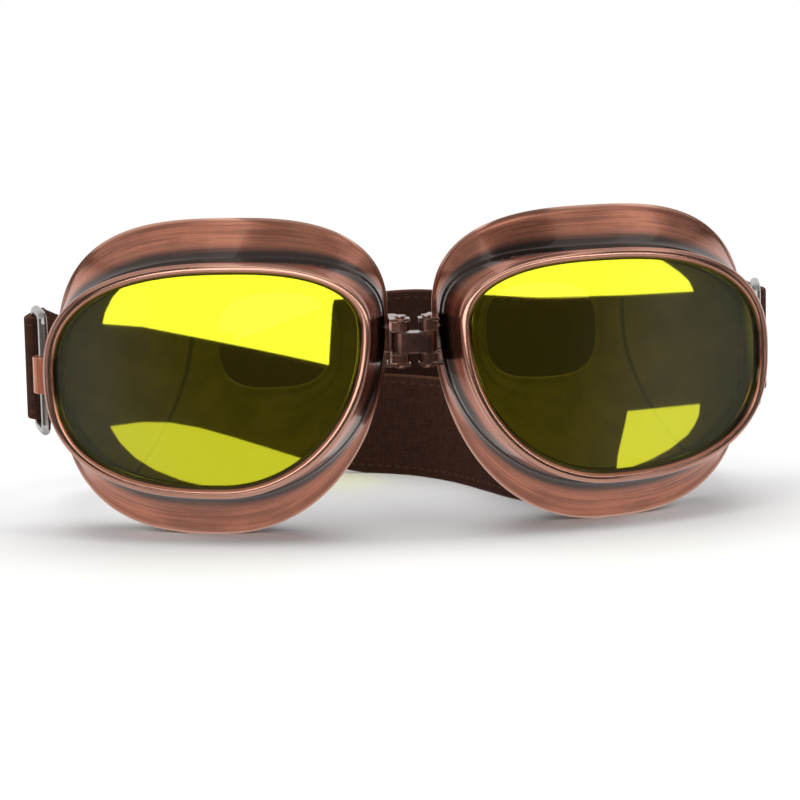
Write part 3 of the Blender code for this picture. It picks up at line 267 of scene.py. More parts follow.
# Panels that the brims mirror: height, y of the two ends, then for each panel its name, x at those
# ends of the near and the far edge, and how bright it is. Six hang over the goggles and one in front
PANEL_HEIGHT = 0.30
PANEL_ENDS = (-0.30, 0.16)
PANELS = (("left_panel", (-0.114, -0.026), (-0.142, -0.041), 1.12),
          ("left_middle_panel", (-0.142, -0.041), (-0.200, -0.062), 0.86),
          ("left_outer_panel", (-0.200, -0.062), (-0.900, -0.600), 0.62),
          ("right_panel", (0.140, 0.050), (0.300, 0.122), 0.62),
          ("right_middle_panel", (0.300, 0.122), (0.500, 0.200), 0.92),
          ("right_outer_panel", (0.500, 0.200), (0.900, 0.600), 0.38))
FRONT_PANEL_ENDS = (-0.80, -0.30)
FRONT_PANEL = ("front_panel", (-0.30, -0.25), (0.30, 0.25), 1.25)
# A small panel close above the nose half of the left eyepiece
LOW_PANEL_HEIGHT = 0.105
LOW_PANEL_ENDS = (-0.06, 0.06)
LOW_PANEL = ("low_panel", (-0.046, -0.046), (0.003, 0.003), 0.42)
FLOOR_FADE = (0.20, 0.42)
# Pool of yellow light on the table behind the left eyepiece
GLOW_PLACE = (-0.013, 0.029, 0.30)
GLOW_RADIUS = 0.017
GLOW_WATTS = 0.8
GLOW_COLOUR = (0.95, 0.95, 0.04)
# Lamps: name, place, the point that it faces, width, height and watts
LAMPS = (("top_lamp", (0.0, 0.10, 0.95), (0.0, 0.0, 0.0), 1.0, 1.3, 7.4),
         ("left_side_lamp", (-1.0, 0.12, 0.45), (0.0, 0.0, 0.0), 0.5, 0.5, 5.5),
         ("right_side_lamp", (1.0, 0.12, 0.45), (0.0, 0.0, 0.0), 0.5, 0.5, 5.5),
         ("left_lamp", (-0.95, -0.75, 0.75), (0.0, 0.0, 0.04), 0.5, 0.7, 1.7),
         ("right_lamp", (0.95, -0.65, 0.70), (0.0, 0.0, 0.04), 0.45, 0.6, 2.2))
HANDS = (("left", -1), ("right", 1))


# Settings

class GoggleSizes(bpy.types.PropertyGroup):
    stations: IntProperty(name="Stations", description="Points round each rim", default=176, min=52)
    wall_edge: FloatProperty(name="Wall edge", description="Rounding of the side wall's back edge",
                             default=0.0003, unit="LENGTH")
    strap_step: FloatProperty(name="Strap step", description="Length of webbing between two stations",
                              default=0.0014, unit="LENGTH")
    rib_pitch: FloatProperty(name="Rib pitch", description="Distance between the webbing's ribs",
                             default=0.00085, unit="LENGTH")
    stitch_inset: FloatProperty(name="Stitch inset", description="Distance of the stitching from the edge",
                                default=0.0022, unit="LENGTH")
    stitch_length: FloatProperty(name="Stitch pitch", description="Distance between two stitches",
                                 default=0.0026, unit="LENGTH")


class GoggleColours(bpy.types.PropertyGroup):
    copper: FloatVectorProperty(name="Copper", description="Bright brushed copper", subtype="COLOR",
                                default=(0.66, 0.245, 0.150))
    # Rubbed-bright copper, which also paints highlights on the rolled rims and on the fittings' edges
    worn_copper: FloatVectorProperty(name="Worn copper", description="Copper rubbed bright", subtype="COLOR",
                                     default=(0.84, 0.48, 0.36))
    patina: FloatVectorProperty(name="Patina", description="Dark patina in the grooves", subtype="COLOR",
                                default=(0.040, 0.030, 0.027))
    steel: FloatVectorProperty(name="Steel", description="Wire of the rings", subtype="COLOR",
                               default=(0.78, 0.75, 0.73))
    tint: FloatVectorProperty(name="Tint", description="Light that the lens lets through", subtype="COLOR",
                              default=(0.66, 0.62, 0.06))
    gleam: FloatVectorProperty(name="Gleam", description="Colour of the lens's reflections", subtype="COLOR",
                               default=(0.92, 0.93, 0.02))
    # Grey of fine dust on the lens, which also paints a sheen towards its rim that stands in for the grey
    # room it mirrors
    haze: FloatVectorProperty(name="Haze", description="Fine dust on the lens", subtype="COLOR",
                              default=(0.50, 0.50, 0.48))
    leather: FloatVectorProperty(name="Leather", description="Face pads", subtype="COLOR",
                                 default=(0.075, 0.042, 0.030))
    lining: FloatVectorProperty(name="Lining", description="Lining seen through the lens", subtype="COLOR",
                                default=(0.43, 0.345, 0.25))
    webbing: FloatVectorProperty(name="Webbing", description="Elastic webbing", subtype="COLOR",
                                 default=(0.041, 0.0170, 0.0108))
    thread: FloatVectorProperty(name="Thread", description="Stitching of the webbing", subtype="COLOR",
                                default=(0.13, 0.055, 0.032))
    floor: FloatVectorProperty(name="Floor", description="Paper under the goggles", subtype="COLOR",
                               default=(0.90, 0.90, 0.90))


def sizes():
    return bpy.context.scene.goggle_sizes


def colours():
    return bpy.context.scene.goggle_colours


# Shader maths

def maths(operation, reflected=False):
    """Method of a link that adds a Math node; a reflected one puts the other value first."""
    def method(self, other=0.0):
        first, second = (other, self) if reflected else (self, other)
        return self.shader.node("Math", {"operation": operation}, {0: first, 1: second})
    return method


class Link:
    """A socket that can stand in a Python sum, which adds the Math nodes."""

    def __init__(self, shader, socket):
        self.shader, self.socket = shader, socket

    __add__ = __radd__ = maths("ADD")
    __sub__ = maths("SUBTRACT")
    __rsub__ = maths("SUBTRACT", True)
    __mul__ = __rmul__ = maths("MULTIPLY")
    __truediv__ = maths("DIVIDE")
    __rtruediv__ = maths("DIVIDE", True)
    absolute = maths("ABSOLUTE")
    least = maths("MINIMUM")
    most = maths("MAXIMUM")
    sine = maths("SINE")
    part = maths("FRACT")

    def ramp(self, low, high):
        """0 below low, 1 above high and smooth in between; low may be the larger."""
        falls = low > high
        return self.shader.node("MapRange", {"interpolation_type": "SMOOTHSTEP"},
                                {"Value": self, "From Min": min(low, high), "From Max": max(low, high),
                                 "To Min": float(falls), "To Max": float(not falls)})


class Shader:
    """Adds nodes to one tree."""

    def __init__(self, tree):
        self.tree = tree

    def node(self, kind, settings=None, values=None, out=0):
        made = self.tree.nodes.new("ShaderNode" + kind)
        for name, value in (settings or {}).items():
            setattr(made, name, value)
        for name, value in (values or {}).items():
            if isinstance(value, Link):
                self.tree.links.new(value.socket, made.inputs[name])
            else:
                made.inputs[name].default_value = value
        return Link(self, made.outputs[out]) if made.outputs else None

    def mix(self, factor, first, second):
        return self.node("Mix", {"data_type": "RGBA"}, {0: factor, 6: first, 7: second}, 2)

    def tones(self, factor, name, dark, pale=1.0):
        """Colour between two shares of one of the panel's colours."""
        return self.mix(factor, paint(name, dark), paint(name, pale))

    def parts(self, where):
        """X, Y and Z of a vector."""
        split = self.node("SeparateXYZ", None, {0: where}).socket.node
        return [Link(self, output) for output in split.outputs]

    def lengths(self):
        """Lengths along and across a piece, in metres."""
        return self.node("UVMap", {"uv_map": "lengths"})

    def mark(self, name):
        """Value that the mesh's points carry under a name."""
        return self.node("Attribute", {"attribute_name": name}, None, 2)

    def place(self):
        return self.node("TexCoord", None, None, 3)

    def noise(self, where, scale, detail=3.0, roughness=0.5):
        return self.node("TexNoise", None,
                         {"Vector": where, "Scale": scale, "Detail": detail, "Roughness": roughness})

    def streaks(self, where, scales, detail, roughness, layer=0.0):
        """Noise drawn out along the axes with small scales; each layer has its own pattern."""
        drawn = self.node("VectorMath", {"operation": "MULTIPLY_ADD"},
                          {0: where, 1: scales, 2: (0.0, 0.0, layer)})
        return self.noise(drawn, 1.0, detail, roughness)

    def grain(self, where, scale, width):
        """0 in the creases of a fine leather grain and 1 between them."""
        return self.node("TexVoronoi", {"feature": "DISTANCE_TO_EDGE"},
                         {"Vector": where, "Scale": scale}).ramp(0.0, width)

    def bump(self, height, strength, distance):
        return self.node("Bump", None, {"Strength": strength, "Distance": distance, "Height": height})


def rgba(colour, share=1.0):
    return (*(part * share for part in colour), 1.0)


def paint(name, share=1.0):
    """One of the panel's colours, darker or paler by a share."""
    return rgba(getattr(colours(), name), share)


def fill_tree(tree, output, build):
    """Fills a tree from build(shader), which gives a surface or the values of a Principled node."""
    tree.nodes.clear()
    shader = Shader(tree)
    surface = build(shader)
    if isinstance(surface, dict):
        surface = shader.node("BsdfPrincipled", None, surface)
    shader.node(output, None, {"Surface": surface})


def finish_with(name, build):
    """Material of that name, which build(shader) fills the first time."""
    if name not in bpy.data.materials:
        material = bpy.data.materials.new(name)
        material.use_nodes = True
        fill_tree(material.node_tree, "OutputMaterial", build)
    return bpy.data.materials[name]


def finish(build):
    """Turns build(shader) into a function that gives its material, which has the same name."""
    def give():
        return finish_with(build.__name__, build)
    return give


# Finishes

@finish
def brushed_copper(shader):
    """Copper brushed along the rim, with dark patina where the mesh's patina mark is high."""
    lengths = shader.lengths()
    fine = shader.streaks(lengths, (55.0, 2600.0, 0.0), 3.0, 0.6)
    broad = shader.streaks(lengths, (26.0, 850.0, 0.0), 4.0, 0.6, 3.0)
    cloud = shader.noise(shader.place(), 55.0, 3.0, 0.55)
    brush = fine * 0.5 + broad * 0.5
    dark = (shader.mark("patina") * 1.2 + (cloud - 0.5) * 0.5 + (brush - 0.5) * 1.1).ramp(0.28, 0.92)
    tone = (brush + (cloud - 0.5) * 0.45).ramp(0.36, 0.66)
    # Rubbed-bright copper where the mark says: partly real rubbing, partly a painted highlight on the roll
    # of the rim and the brim's rolled edge
    worn_and_highlit = (shader.mark("wear") + (broad - 0.5) * 0.6).ramp(0.3, 0.95)
    colour = shader.mix(worn_and_highlit * 0.8, shader.tones(tone, "copper", 0.52), paint("worn_copper"))
    colour = shader.mix(dark * 0.97, colour, paint("patina"))
    rough = 0.19 + fine * 0.16 - dark * 0.05 - worn_and_highlit * 0.12
    return {"Base Color": colour, "Metallic": 0.94, "Roughness": rough, "Coat Weight": 0.55,
            "Coat Roughness": 0.06, "Normal": shader.bump(fine * 0.6 + broad * 0.4, 0.22, 0.00005)}


def aged_copper(name, grain, age, metallic):
    """Copper of the small fittings, with a painted highlight on its edges and painted shade in its nooks;
    grain scales its brushing, age darkens it.
    """
    def build(shader):
        place = shader.place()
        streaks = shader.streaks(place, grain, 4.0, 0.6)
        cloud = shader.noise(place, 260.0, 2.0, 0.5)
        # Edges, from the bevelled normal against the flat one; they get a painted highlight below
        rounded = shader.node("Bevel", {"samples": 6}, {"Radius": 0.00035})
        flat = shader.node("NewGeometry", None, None, 1)
        along = shader.node("VectorMath", {"operation": "DOT_PRODUCT"}, {0: rounded, 1: flat}, 1)
        edge = (1.0 - along).ramp(0.015, 0.14)
        # Ambient occlusion darkens nooks and joints towards the patina colour: painted shade
        painted_shade_occlusion = shader.node("AmbientOcclusion", {"samples": 6}, {"Distance": 0.0025}, 1)
        dark = ((1.0 - painted_shade_occlusion) * 0.9 + (cloud - 0.5) * 0.6 + (streaks - 0.5) * 0.2 + age).ramp(0.1, 0.9)
        colour = shader.tones(streaks.ramp(0.3, 0.7), "copper", 0.72)
        colour = shader.mix(dark * 0.85, colour, paint("patina", 1.6))
        # Painted highlight: the edges in rubbed-bright copper
        colour = shader.mix(edge * 0.9, colour, paint("worn_copper"))
        return {"Base Color": colour, "Metallic": metallic, "Roughness": 0.14 + streaks * 0.10,
                "Coat Weight": 0.3, "Coat Roughness": 0.06, "Normal": shader.bump(streaks, 0.06, 0.00002)}
    return finish_with(name, build)


@finish
def ring_steel(shader):
    """Bright wire, darker at the ring's upper and lower bends."""
    place = shader.place()
    cloud = shader.noise(place, 700.0, 4.0, 0.6)
    low, high = (corner[2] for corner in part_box("left_strap_ring"))
    tip = ((shader.parts(place)[2] - (low + high) / 2).absolute() / ((high - low) / 2)).ramp(0.80, 0.97)
    colour = shader.tones(cloud.ramp(0.35, 0.7), "steel", 0.88)
    colour = shader.mix(tip * 0.5, colour, paint("steel", 0.25))
    return {"Base Color": colour, "Metallic": 1.0, "Roughness": 0.24 + cloud * 0.08,
            "Normal": shader.bump(cloud, 0.1, 0.00002)}


@finish
def lens_coat(shader):
    """Front of the lens: tinted and see-through, with a strong yellow reflection."""
    speck = shader.noise(shader.place(), 900.0, 2.0, 0.5)
    clear = shader.node("BsdfTransparent", None, {"Color": paint("tint")})
    gloss = shader.node("BsdfPrincipled", None,
                        {"Base Color": paint("gleam"), "Roughness": 0.024 + speck * 0.012,
                         "Metallic": 1.0, "Coat Weight": 0.35, "Coat Roughness": 0.03})
    edge = shader.node("LayerWeight", None, {"Blend": 0.25}, 1)
    seen = 1.0 - shader.node("LightPath", None, None, 1)
    tinted = shader.node("MixShader", None, {0: (0.52 + edge * 0.10) * seen, 1: clear, 2: gloss})
    # Grey layer, stronger towards the rim: fine dust and a painted sheen, standing in for the grey room
    # mirrored at the lens's sides
    haze = shader.node("BsdfPrincipled", None,
                       {"Base Color": paint("haze"), "Roughness": 0.6 + speck * 0.1})
    milky = (0.006 + edge.ramp(0.012, 0.075) * 0.055) * seen
    return shader.node("MixShader", None, {0: milky, 1: tinted, 2: haze})


@finish
def lens_back(shader):
    """Back and edge of the lens, which only let light through with a faint sheen."""
    speck = shader.noise(shader.place(), 900.0, 2.0, 0.5)
    clear = shader.node("BsdfTransparent", None, {"Color": rgba(LENS_BACK_TINT)})
    gloss = shader.node("BsdfPrincipled", None,
                        {"Base Color": paint("gleam", 0.5), "Roughness": 0.10 + speck * 0.05})
    return shader.node("MixShader", None, {0: 0.03, 1: clear, 2: gloss})


@finish
def leather_lining(shader):
    """Fine-grained lining of the cup with a pressed seam across it."""
    place = shader.place()
    grain = shader.grain(place, 1500.0, 0.09)
    cloud = shader.noise(place, 110.0, 4.0, 0.6)
    x, _, z = shader.parts(place)
    rise = z - SEAM_PLACE[1]
    off = (x.absolute() - SEAM_PLACE[0]) - rise * rise * SEAM_BOW + rise * SEAM_LEAN
    seam = off.absolute().ramp(0.0009, 0.0002)
    colour = shader.tones(cloud.ramp(0.3, 0.75), "lining", 0.72, 1.15)
    colour = shader.mix(seam * 0.8, colour, paint("lining", 0.22))
    return {"Base Color": colour, "Roughness": 0.52 + cloud * 0.2,
            "Normal": shader.bump(grain * 0.5 - seam * 2.5, 0.35, 0.00012)}


@finish
def pad_leather(shader):
    """Grained leather, darker in its creases and along the seam."""
    place = shader.place()
    grain = shader.grain(place, 1150.0, 0.10)
    cloud = shader.noise(place, 75.0, 4.0, 0.6)
    seam = shader.mark("seam").ramp(0.25, 0.9)
    colour = shader.tones(cloud.ramp(0.3, 0.75), "leather", 0.72, 1.25)
    colour = shader.mix((1.0 - grain) * 0.45, colour, paint("leather", 0.4))
    colour = shader.mix(seam * 0.7, colour, paint("leather", 0.3))
    return {"Base Color": colour, "Roughness": 0.50 + cloud * 0.22,
            "Normal": shader.bump(grain, 0.5, 0.00016)}


@finish
def seal_rubber(shader):
    """Black rubber, a little dusty."""
    cloud = shader.noise(shader.place(), 500.0, 4.0, 0.6)
    return {"Base Color": shader.mix(cloud, rgba(RUBBER_TONES[0]), rgba(RUBBER_TONES[1])),
            "Roughness": 0.62 + cloud * 0.2, "Normal": shader.bump(cloud, 0.3, 0.0001)}


@finish
def elastic_webbing(shader):
    """Ribbed elastic: cross ribs and lengthwise cords, stitched along both edges."""
    lengths = shader.lengths()
    u, v, _ = shader.parts(lengths)
    pitch = sizes().rib_pitch
    ribs = (u * (math.tau / pitch)).sine() * 0.5 + 0.5
    cords = (v * (math.tau / (pitch * 0.9))).sine() * 0.5 + 0.5
    wander = shader.streaks(lengths, (320.0, 900.0, 0.0), 4.0, 0.7)
    cross = shader.streaks(lengths, (1500.0, 240.0, 0.0), 4.0, 0.7, 5.0)
    fuzz = shader.streaks(lengths, (5200.0, 5200.0, 0.0), 3.0, 0.7)
    from_edge = v.least(STRAP_WIDTH - v)
    line = (from_edge - sizes().stitch_inset).absolute().ramp(0.00030, 0.00014)
    dash = (u / sizes().stitch_length).part()
    stitch = line * dash.ramp(0.16, 0.26) * dash.ramp(0.80, 0.70)
    selvage = from_edge.ramp(0.0008, 0.0002)
    weave = ribs * 0.5 + cords * 0.5
    shade = weave * 0.13 + wander * 0.5 + cross * 0.45 + fuzz * 0.3
    colour = shader.tones(shade.ramp(0.42, 0.95), "webbing", 0.55, 1.75)
    colour = shader.mix(selvage * 0.5, colour, paint("webbing", 3.2))
    colour = shader.mix(stitch * 0.45, colour, paint("thread"))
    relief = weave * 0.5 + fuzz * 0.3 + cross * 0.2 + stitch - line * 0.5
    return {"Base Color": colour, "Roughness": 0.85 + wander * 0.1, "Specular IOR Level": 0.12,
            "Normal": shader.bump(relief, 0.5, 0.0002)}


@finish
def paper_floor(shader):
    """Pale paper that fades into the white behind it."""
    place = shader.place()
    distance = shader.node("VectorMath", {"operation": "LENGTH"}, {0: place}, 1)
    colour = shader.tones(shader.noise(place, 3.0, 2.0, 0.5), "floor", 0.99)
    return {"Base Color": colour, "Roughness": 0.85, "Specular IOR Level": 0.1,
            "Alpha": distance.ramp(FLOOR_FADE[1], FLOOR_FADE[0])}


# Outlines and places, as in the model's own source

def moved_line(line, shifts, fullness):
    """Outline whose four extremes are another's, each moved by its own shift."""
    return tuple((x + right, z + up) for (x, z), (right, up) in zip(line, shifts)) + (fullness,)


RIM_LINE = (RIM_TOP, RIM_TEMPLE, RIM_BOTTOM, RIM_NOSE, RIM_FULLNESS_SHARES)
WALL_LINE = moved_line(RIM_LINE, WALL_SHIFTS, WALL_FULLNESS_SHARES)
BRIM_LINE = moved_line(WALL_LINE, BRIM_SHIFTS, BRIM_FULLNESS_SHARES)
EYE_SHIFTS = ((0.0, EYE_HALF_HEIGHT), (EYE_HALF_WIDTH, 0.0), (0.0, -EYE_HALF_HEIGHT), (-EYE_HALF_WIDTH, 0.0))
EYE_LINE = moved_line([EYE_MIDDLE] * 4, EYE_SHIFTS, EYE_FULLNESS_SHARES)


def front_to_back():
    """How far the model's own drawing is slid along Y."""
    low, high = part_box("right_hinge_pin")
    return (low[1] + high[1]) / 2 - PIN_Y


def outline_point(line, turn):
    """Point on an outline; turn 0 is the temple, a quarter turn the top, a half the nose."""
    top, temple, bottom, nose, fullness = line
    c, s = math.cos(turn), math.sin(turn)
    if s >= 0.0:
        across, power = top, fullness[0] if c >= 0.0 else fullness[1]
    else:
        across, power = bottom, fullness[2] if c < 0.0 else fullness[3]
    side = temple if c >= 0.0 else nose
    x = across[0] + (side[0] - across[0]) * abs(c) ** (2.0 / power)
    z = side[1] + (across[1] - side[1]) * abs(s) ** (2.0 / power)
    return x, z


def offset_point(line, turn, out):
    ahead, behind = outline_point(line, turn + NUDGE_SHARE), outline_point(line, turn - NUDGE_SHARE)
    along = Vector((ahead[0] - behind[0], ahead[1] - behind[1])).normalized()
    x, z = outline_point(line, turn)
    return x + out * along.y, z - out * along.x


def pick_turns(count):
    """Turns spaced by length along the rim, closer together where it bends sharply."""
    sums, total = [0.0], 0.0
    points = [Vector(outline_point(RIM_LINE, math.tau * step / DENSE_STEPS))
              for step in range(DENSE_STEPS + 1)]
    headings = [(points[step + 1] - points[step]).normalized() for step in range(DENSE_STEPS)]
    for step in range(DENSE_STEPS):
        bend = headings[step].angle(headings[step - 1])
        total += (points[step + 1] - points[step]).length + CORNER_WEIGHT * bend
        sums.append(total)
    turns, step = [], 0
    for station in range(count):
        wanted = total * station / count
        while sums[step + 1] < wanted:
            step += 1
        part = (wanted - sums[step]) / (sums[step + 1] - sums[step])
        turns.append(math.tau * (step + part) / DENSE_STEPS)
    return turns


def lens_bend(x, z):
    return (LENS_BEND - math.sqrt(LENS_BEND ** 2 - (x - LENS_CENTRE_X) ** 2)
            + (z - LENS_CENTRE_Z) ** 2 / (2 * LENS_BOWL_RADIUS))


def brim_bend(x):
    return BRIM_BACK + BRIM_BEND - math.sqrt(BRIM_BEND ** 2 - (x - BRIM_CENTRE_X) ** 2)


def nose_share(turn):
    return max(0.0, -math.cos(turn)) ** 2


def temple_share(turn):
    return max(0.0, math.cos(turn)) ** 2


def top_share(turn):
    return max(0.0, math.sin(turn)) ** 2


def wall_depth(turn):
    return WALL_DEPTH + WALL_NOSE_EXTRA * nose_share(turn) - WALL_TOP_LESS * top_share(turn)


def at_rim(turn, out, depth):
    x, z = offset_point(RIM_LINE, turn, out)
    return Vector((x, lens_bend(x, z) + depth, z))


def at_wall(turn, out, depth):
    x, z = offset_point(WALL_LINE, turn, out)
    base_x, base_z = outline_point(WALL_LINE, turn)
    return Vector((x, lens_bend(base_x, base_z) + wall_depth(turn) + depth, z))


def at_brim(turn, out, depth):
    x, z = offset_point(BRIM_LINE, turn, out)
    return Vector((x, brim_bend(outline_point(BRIM_LINE, turn)[0]) + depth, z))


def at_eye(turn, out, depth):
    x, z = offset_point(EYE_LINE, turn, out)
    return Vector((x, EYE_DEPTH + depth, z))


def on_flare(turn, share, drop):
    """Point on the flared front of the brim, or drop behind it on the back of the sheet."""
    root = at_wall(turn, GROOVE_FLOOR - drop, GROOVE_WIDTH + drop)
    edge = at_brim(turn, -EDGE_ROLL_RADIUS - drop, drop)
    out = share ** FLARE_OUT_POWER
    back = 1.0 - (1.0 - share) ** FLARE_BACK_POWER
    return Vector((root.x + (edge.x - root.x) * out, root.y + (edge.y - root.y) * back,
                   root.z + (edge.z - root.z) * out))


def inside_wall(turn, depth, inset):
    """Point on the inner face of the side wall, moved in by inset, at a depth behind the rim."""
    front = at_rim(turn, -SEAT_INSET - inset, SEAT_END)
    back = at_wall(turn, -WALL_THICKNESS - inset, 0.0)
    return front.lerp(back, max(0.0, (depth - SEAT_END) / (wall_depth(turn) - SEAT_END)))


# Making pieces

def put(name, data):
    """New object in the scene."""
    made = bpy.data.objects.new(name, data)
    bpy.context.scene.collection.objects.link(made)
    return made


def new_piece(name, mesh, materials, side, body, nodes, mend=None):
    """Object from a shape drawn on the right; side is -1 for its mirror image on the left."""
    mesh.transform(Matrix.Translation((0.0, front_to_back(), 0.0)))
    if side < 0:
        mesh.transform(Matrix.Diagonal((-1.0, 1.0, 1.0, 1.0)))
        mesh.flip_normals()
    for material in materials:
        mesh.materials.append(material)
    mesh.name = name
    made = put(name, mesh)
    if mend:
        mend(made)
    if body:
        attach(made, body)
    if nodes:
        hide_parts(*nodes)
    return made


def dress(hand, side, name, shape, materials, node, mend=None):
    """Fine form of one of an eyepiece's solids, which it stands in for."""
    return new_piece(f"{hand}_{name}", shape(pick_turns(sizes().stations)), materials, side,
                     hand + "_eyepiece", [f"{hand}_{node}"], mend)


def refinish(name, material):
    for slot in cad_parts[name].material_slots:
        slot.material = material


def running(points, start=0.0):
    """Length along a line of points, at each of them."""
    sums = [start]
    for first, second in zip(points, points[1:]):
        sums.append(sums[-1] + (second - first).length)
    return sums


def quads(first, second, count):
    """Faces between two closed rings, given by the numbers of their first points."""
    return [(first + index, first + (index + 1) % count, second + (index + 1) % count, second + index)
            for index in range(count)]


def closed_mesh(points, faces, lengths=None, sharp=None):
    """Smooth mesh that faces outwards; lengths are its UV, and edges over the sharp angle stay sharp."""
    mesh = bpy.data.meshes.new("closed")
    mesh.from_pydata(points, [], faces)
    if lengths:
        for loop, place in zip(mesh.uv_layers.new(name="lengths").data, lengths):
            loop.uv = place
    shape = bmesh.new()
    shape.from_mesh(mesh)
    inside_out = shape.calc_volume(signed=True) < 0.0
    shape.free()
    if inside_out:
        mesh.flip_normals()
    mesh.shade_smooth()
    if sharp:
        mesh.set_sharp_from_angle(angle=math.radians(sharp))
    return mesh


class Loft:
    """Closed body through closed rings, each with a value of every mark."""

    def __init__(self, turns, *marks):
        self.turns = turns
        self.rings = []
        self.marks = {name: [] for name in marks}

    def add(self, place, *where, **values):
        """Adds the ring of place(turn, *where) at every turn."""
        self.rings.append([place(turn, *where) for turn in self.turns])
        for name, marks in self.marks.items():
            marks.append(values.get(name, 0.0))

    def mesh(self):
        """The body, with its last ring joined to the first and lengths along and across it as UV."""
        levels, count = len(self.rings), len(self.turns)
        along = running(self.rings[0] + self.rings[0][:1])
        across = running([ring[0] for ring in self.rings + self.rings[:1]])
        faces, lengths = [], []
        for level in range(levels):
            faces += quads(level * count, ((level + 1) % levels) * count, count)
            for index in range(count):
                lengths += [(along[index], across[level]), (along[index + 1], across[level]),
                            (along[index + 1], across[level + 1]), (along[index], across[level + 1])]
        mesh = closed_mesh([point for ring in self.rings for point in ring], faces, lengths)
        for name, values in self.marks.items():
            mark = mesh.attributes.new(name, "FLOAT", "POINT")
            mark.data.foreach_set("value", [value for value in values for _ in range(count)])
        return mesh


def smooth_share(share):
    return share * share * (3.0 - 2.0 * share)


# Copper forms

def down_wall(turn, share):
    """Point on the side wall, from the rolled rim down to its back edge."""
    return at_rim(turn, 0.0, ROLL_RADIUS).lerp(at_wall(turn, 0.0, -sizes().wall_edge), share)


def lens_frame_mesh(turns):
    """Rolled rim, side wall down to its rounded back edge, and the seat of the lens."""
    loft = Loft(turns, "patina", "wear")
    loft.add(at_rim, -LIP_WIDTH, LIP_BACK, patina=1.3)
    loft.add(at_rim, -LIP_WIDTH, LIP_EDGE, patina=1.3)
    loft.add(at_rim, -2 * ROLL_RADIUS, ROLL_RADIUS * ROLL_BACK_SHARE, patina=1.0)
    for step in range(ROLL_STEPS):
        turn = math.pi * ROLL_ARC_SHARE * (1.0 - step / (ROLL_STEPS - 1))
        c, s = math.cos(turn), math.sin(turn)
        out = ROLL_RADIUS * (math.copysign(abs(c) ** ROLL_FLAT_SHARE, c) - 1.0)
        # The crown of the roll is painted rubbed-bright: partly real rubbing, partly a painted highlight
        loft.add(at_rim, out, ROLL_RADIUS * (1.0 - s ** ROLL_FLAT_SHARE),
                 wear=0.7 if 2 < step < ROLL_STEPS - 3 else 0.1)
    for step in range(1, WALL_STEPS + 1):
        loft.add(down_wall, step / WALL_STEPS, patina=0.05 + 0.80 * smooth_share(step / WALL_STEPS))
    for place, out, depth in ((at_wall, -sizes().wall_edge, 0.0), (at_wall, -WALL_THICKNESS, 0.0),
                              (at_rim, -SEAT_INSET, SEAT_END), (at_rim, -SEAT_INSET, LIP_BACK)):
        loft.add(place, out, depth, patina=0.9)
    return loft.mesh()


def spigot_end(turn, inset):
    return inside_wall(turn, wall_depth(turn) - SPIGOT_REACH, inset)


def eyecup_mesh(turns):
    """Spigot inside the side wall, open groove, flared brim with a rolled edge."""
    loft = Loft(turns, "patina", "wear")
    loft.add(spigot_end, SEAT_GAP + SPIGOT_THICKNESS, patina=1.0)
    loft.add(spigot_end, SEAT_GAP, patina=1.0)
    loft.add(at_wall, -WALL_THICKNESS - SEAT_GAP, GROOVE_WIDTH, patina=1.0)
    loft.add(on_flare, 0.0, 0.0, patina=0.95)
    # Near its edge the flare is painted a little rubbed-bright: partly real rubbing, partly a painted
    # highlight
    for step in range(1, FLARE_STEPS + 1):
        share = step / FLARE_STEPS
        loft.add(on_flare, share, 0.0, wear=0.35 if share > 0.9 else 0.0,
                 patina=0.92 * (1.0 - smooth_share(min(1.0, share / FLARE_DARK_SHARE))))
    # The rolled edge is painted rubbed-bright: partly real rubbing, partly a painted highlight
    for step in range(3, EDGE_ROLL_STEPS + 1):
        turn = math.pi * step / EDGE_ROLL_STEPS
        loft.add(at_brim, EDGE_ROLL_RADIUS * (math.sin(turn) - 1.0),
                 EDGE_ROLL_RADIUS * (1.0 - math.cos(turn)), wear=1.0 if step < 6 else 0.4)
    loft.add(at_brim, -2 * EDGE_ROLL_RADIUS, EDGE_ROLL_RADIUS, patina=0.5)
    for share in FLARE_BACK_SHARES:
        loft.add(on_flare, share, BRIM_SHEET, patina=0.6)
    loft.add(at_wall, -CUP_LAND[0], CUP_LAND[1], patina=0.8)
    loft.add(at_wall, -WALL_THICKNESS - SEAT_GAP - SPIGOT_THICKNESS, SPIGOT_BACK, patina=0.9)
    return loft.mesh()


def top_turn(line, x):
    """Turn at which the upper half of an outline passes over x."""
    top, temple, _, nose, fullness = line
    side, power = (temple, fullness[0]) if x >= top[0] else (nose, fullness[1])
    share = abs((x - top[0]) / (side[0] - top[0])) ** (power / 2.0)
    return math.acos(math.copysign(share, x - top[0]))


def cut_vents(made):
    """Notches in the back edge of the side wall."""
    cutter = bpy.data.meshes.new("vents")
    shape = bmesh.new()
    side = 1.0 if made.data.vertices[0].co.x > 0.0 else -1.0
    for index in range(VENT_COUNT):
        x = RIM_TOP[0] - VENT_FIRST_BACK + VENT_PITCH * index
        crown = at_wall(top_turn(WALL_LINE, x), 0.0, 0.0)
        middle = Matrix.Translation((side * x, crown.y + front_to_back(), crown.z))
        size = Matrix.Diagonal((VENT_LENGTH, 2 * VENT_DEEP, 2 * VENT_TALL, 1.0))
        bmesh.ops.create_cube(shape, size=1.0, matrix=middle @ size)
    shape.to_mesh(cutter)
    shape.free()
    tool = put("vents", cutter)
    step = made.modifiers.new("vents", "BOOLEAN")
    step.operation = "DIFFERENCE"
    step.object = tool
    bpy.context.view_layer.update()
    cut = bpy.data.meshes.new_from_object(made.evaluated_get(bpy.context.evaluated_depsgraph_get()))
    made.modifiers.clear()
    made.data = cut
    bpy.data.objects.remove(tool, do_unlink=True)


# Lens

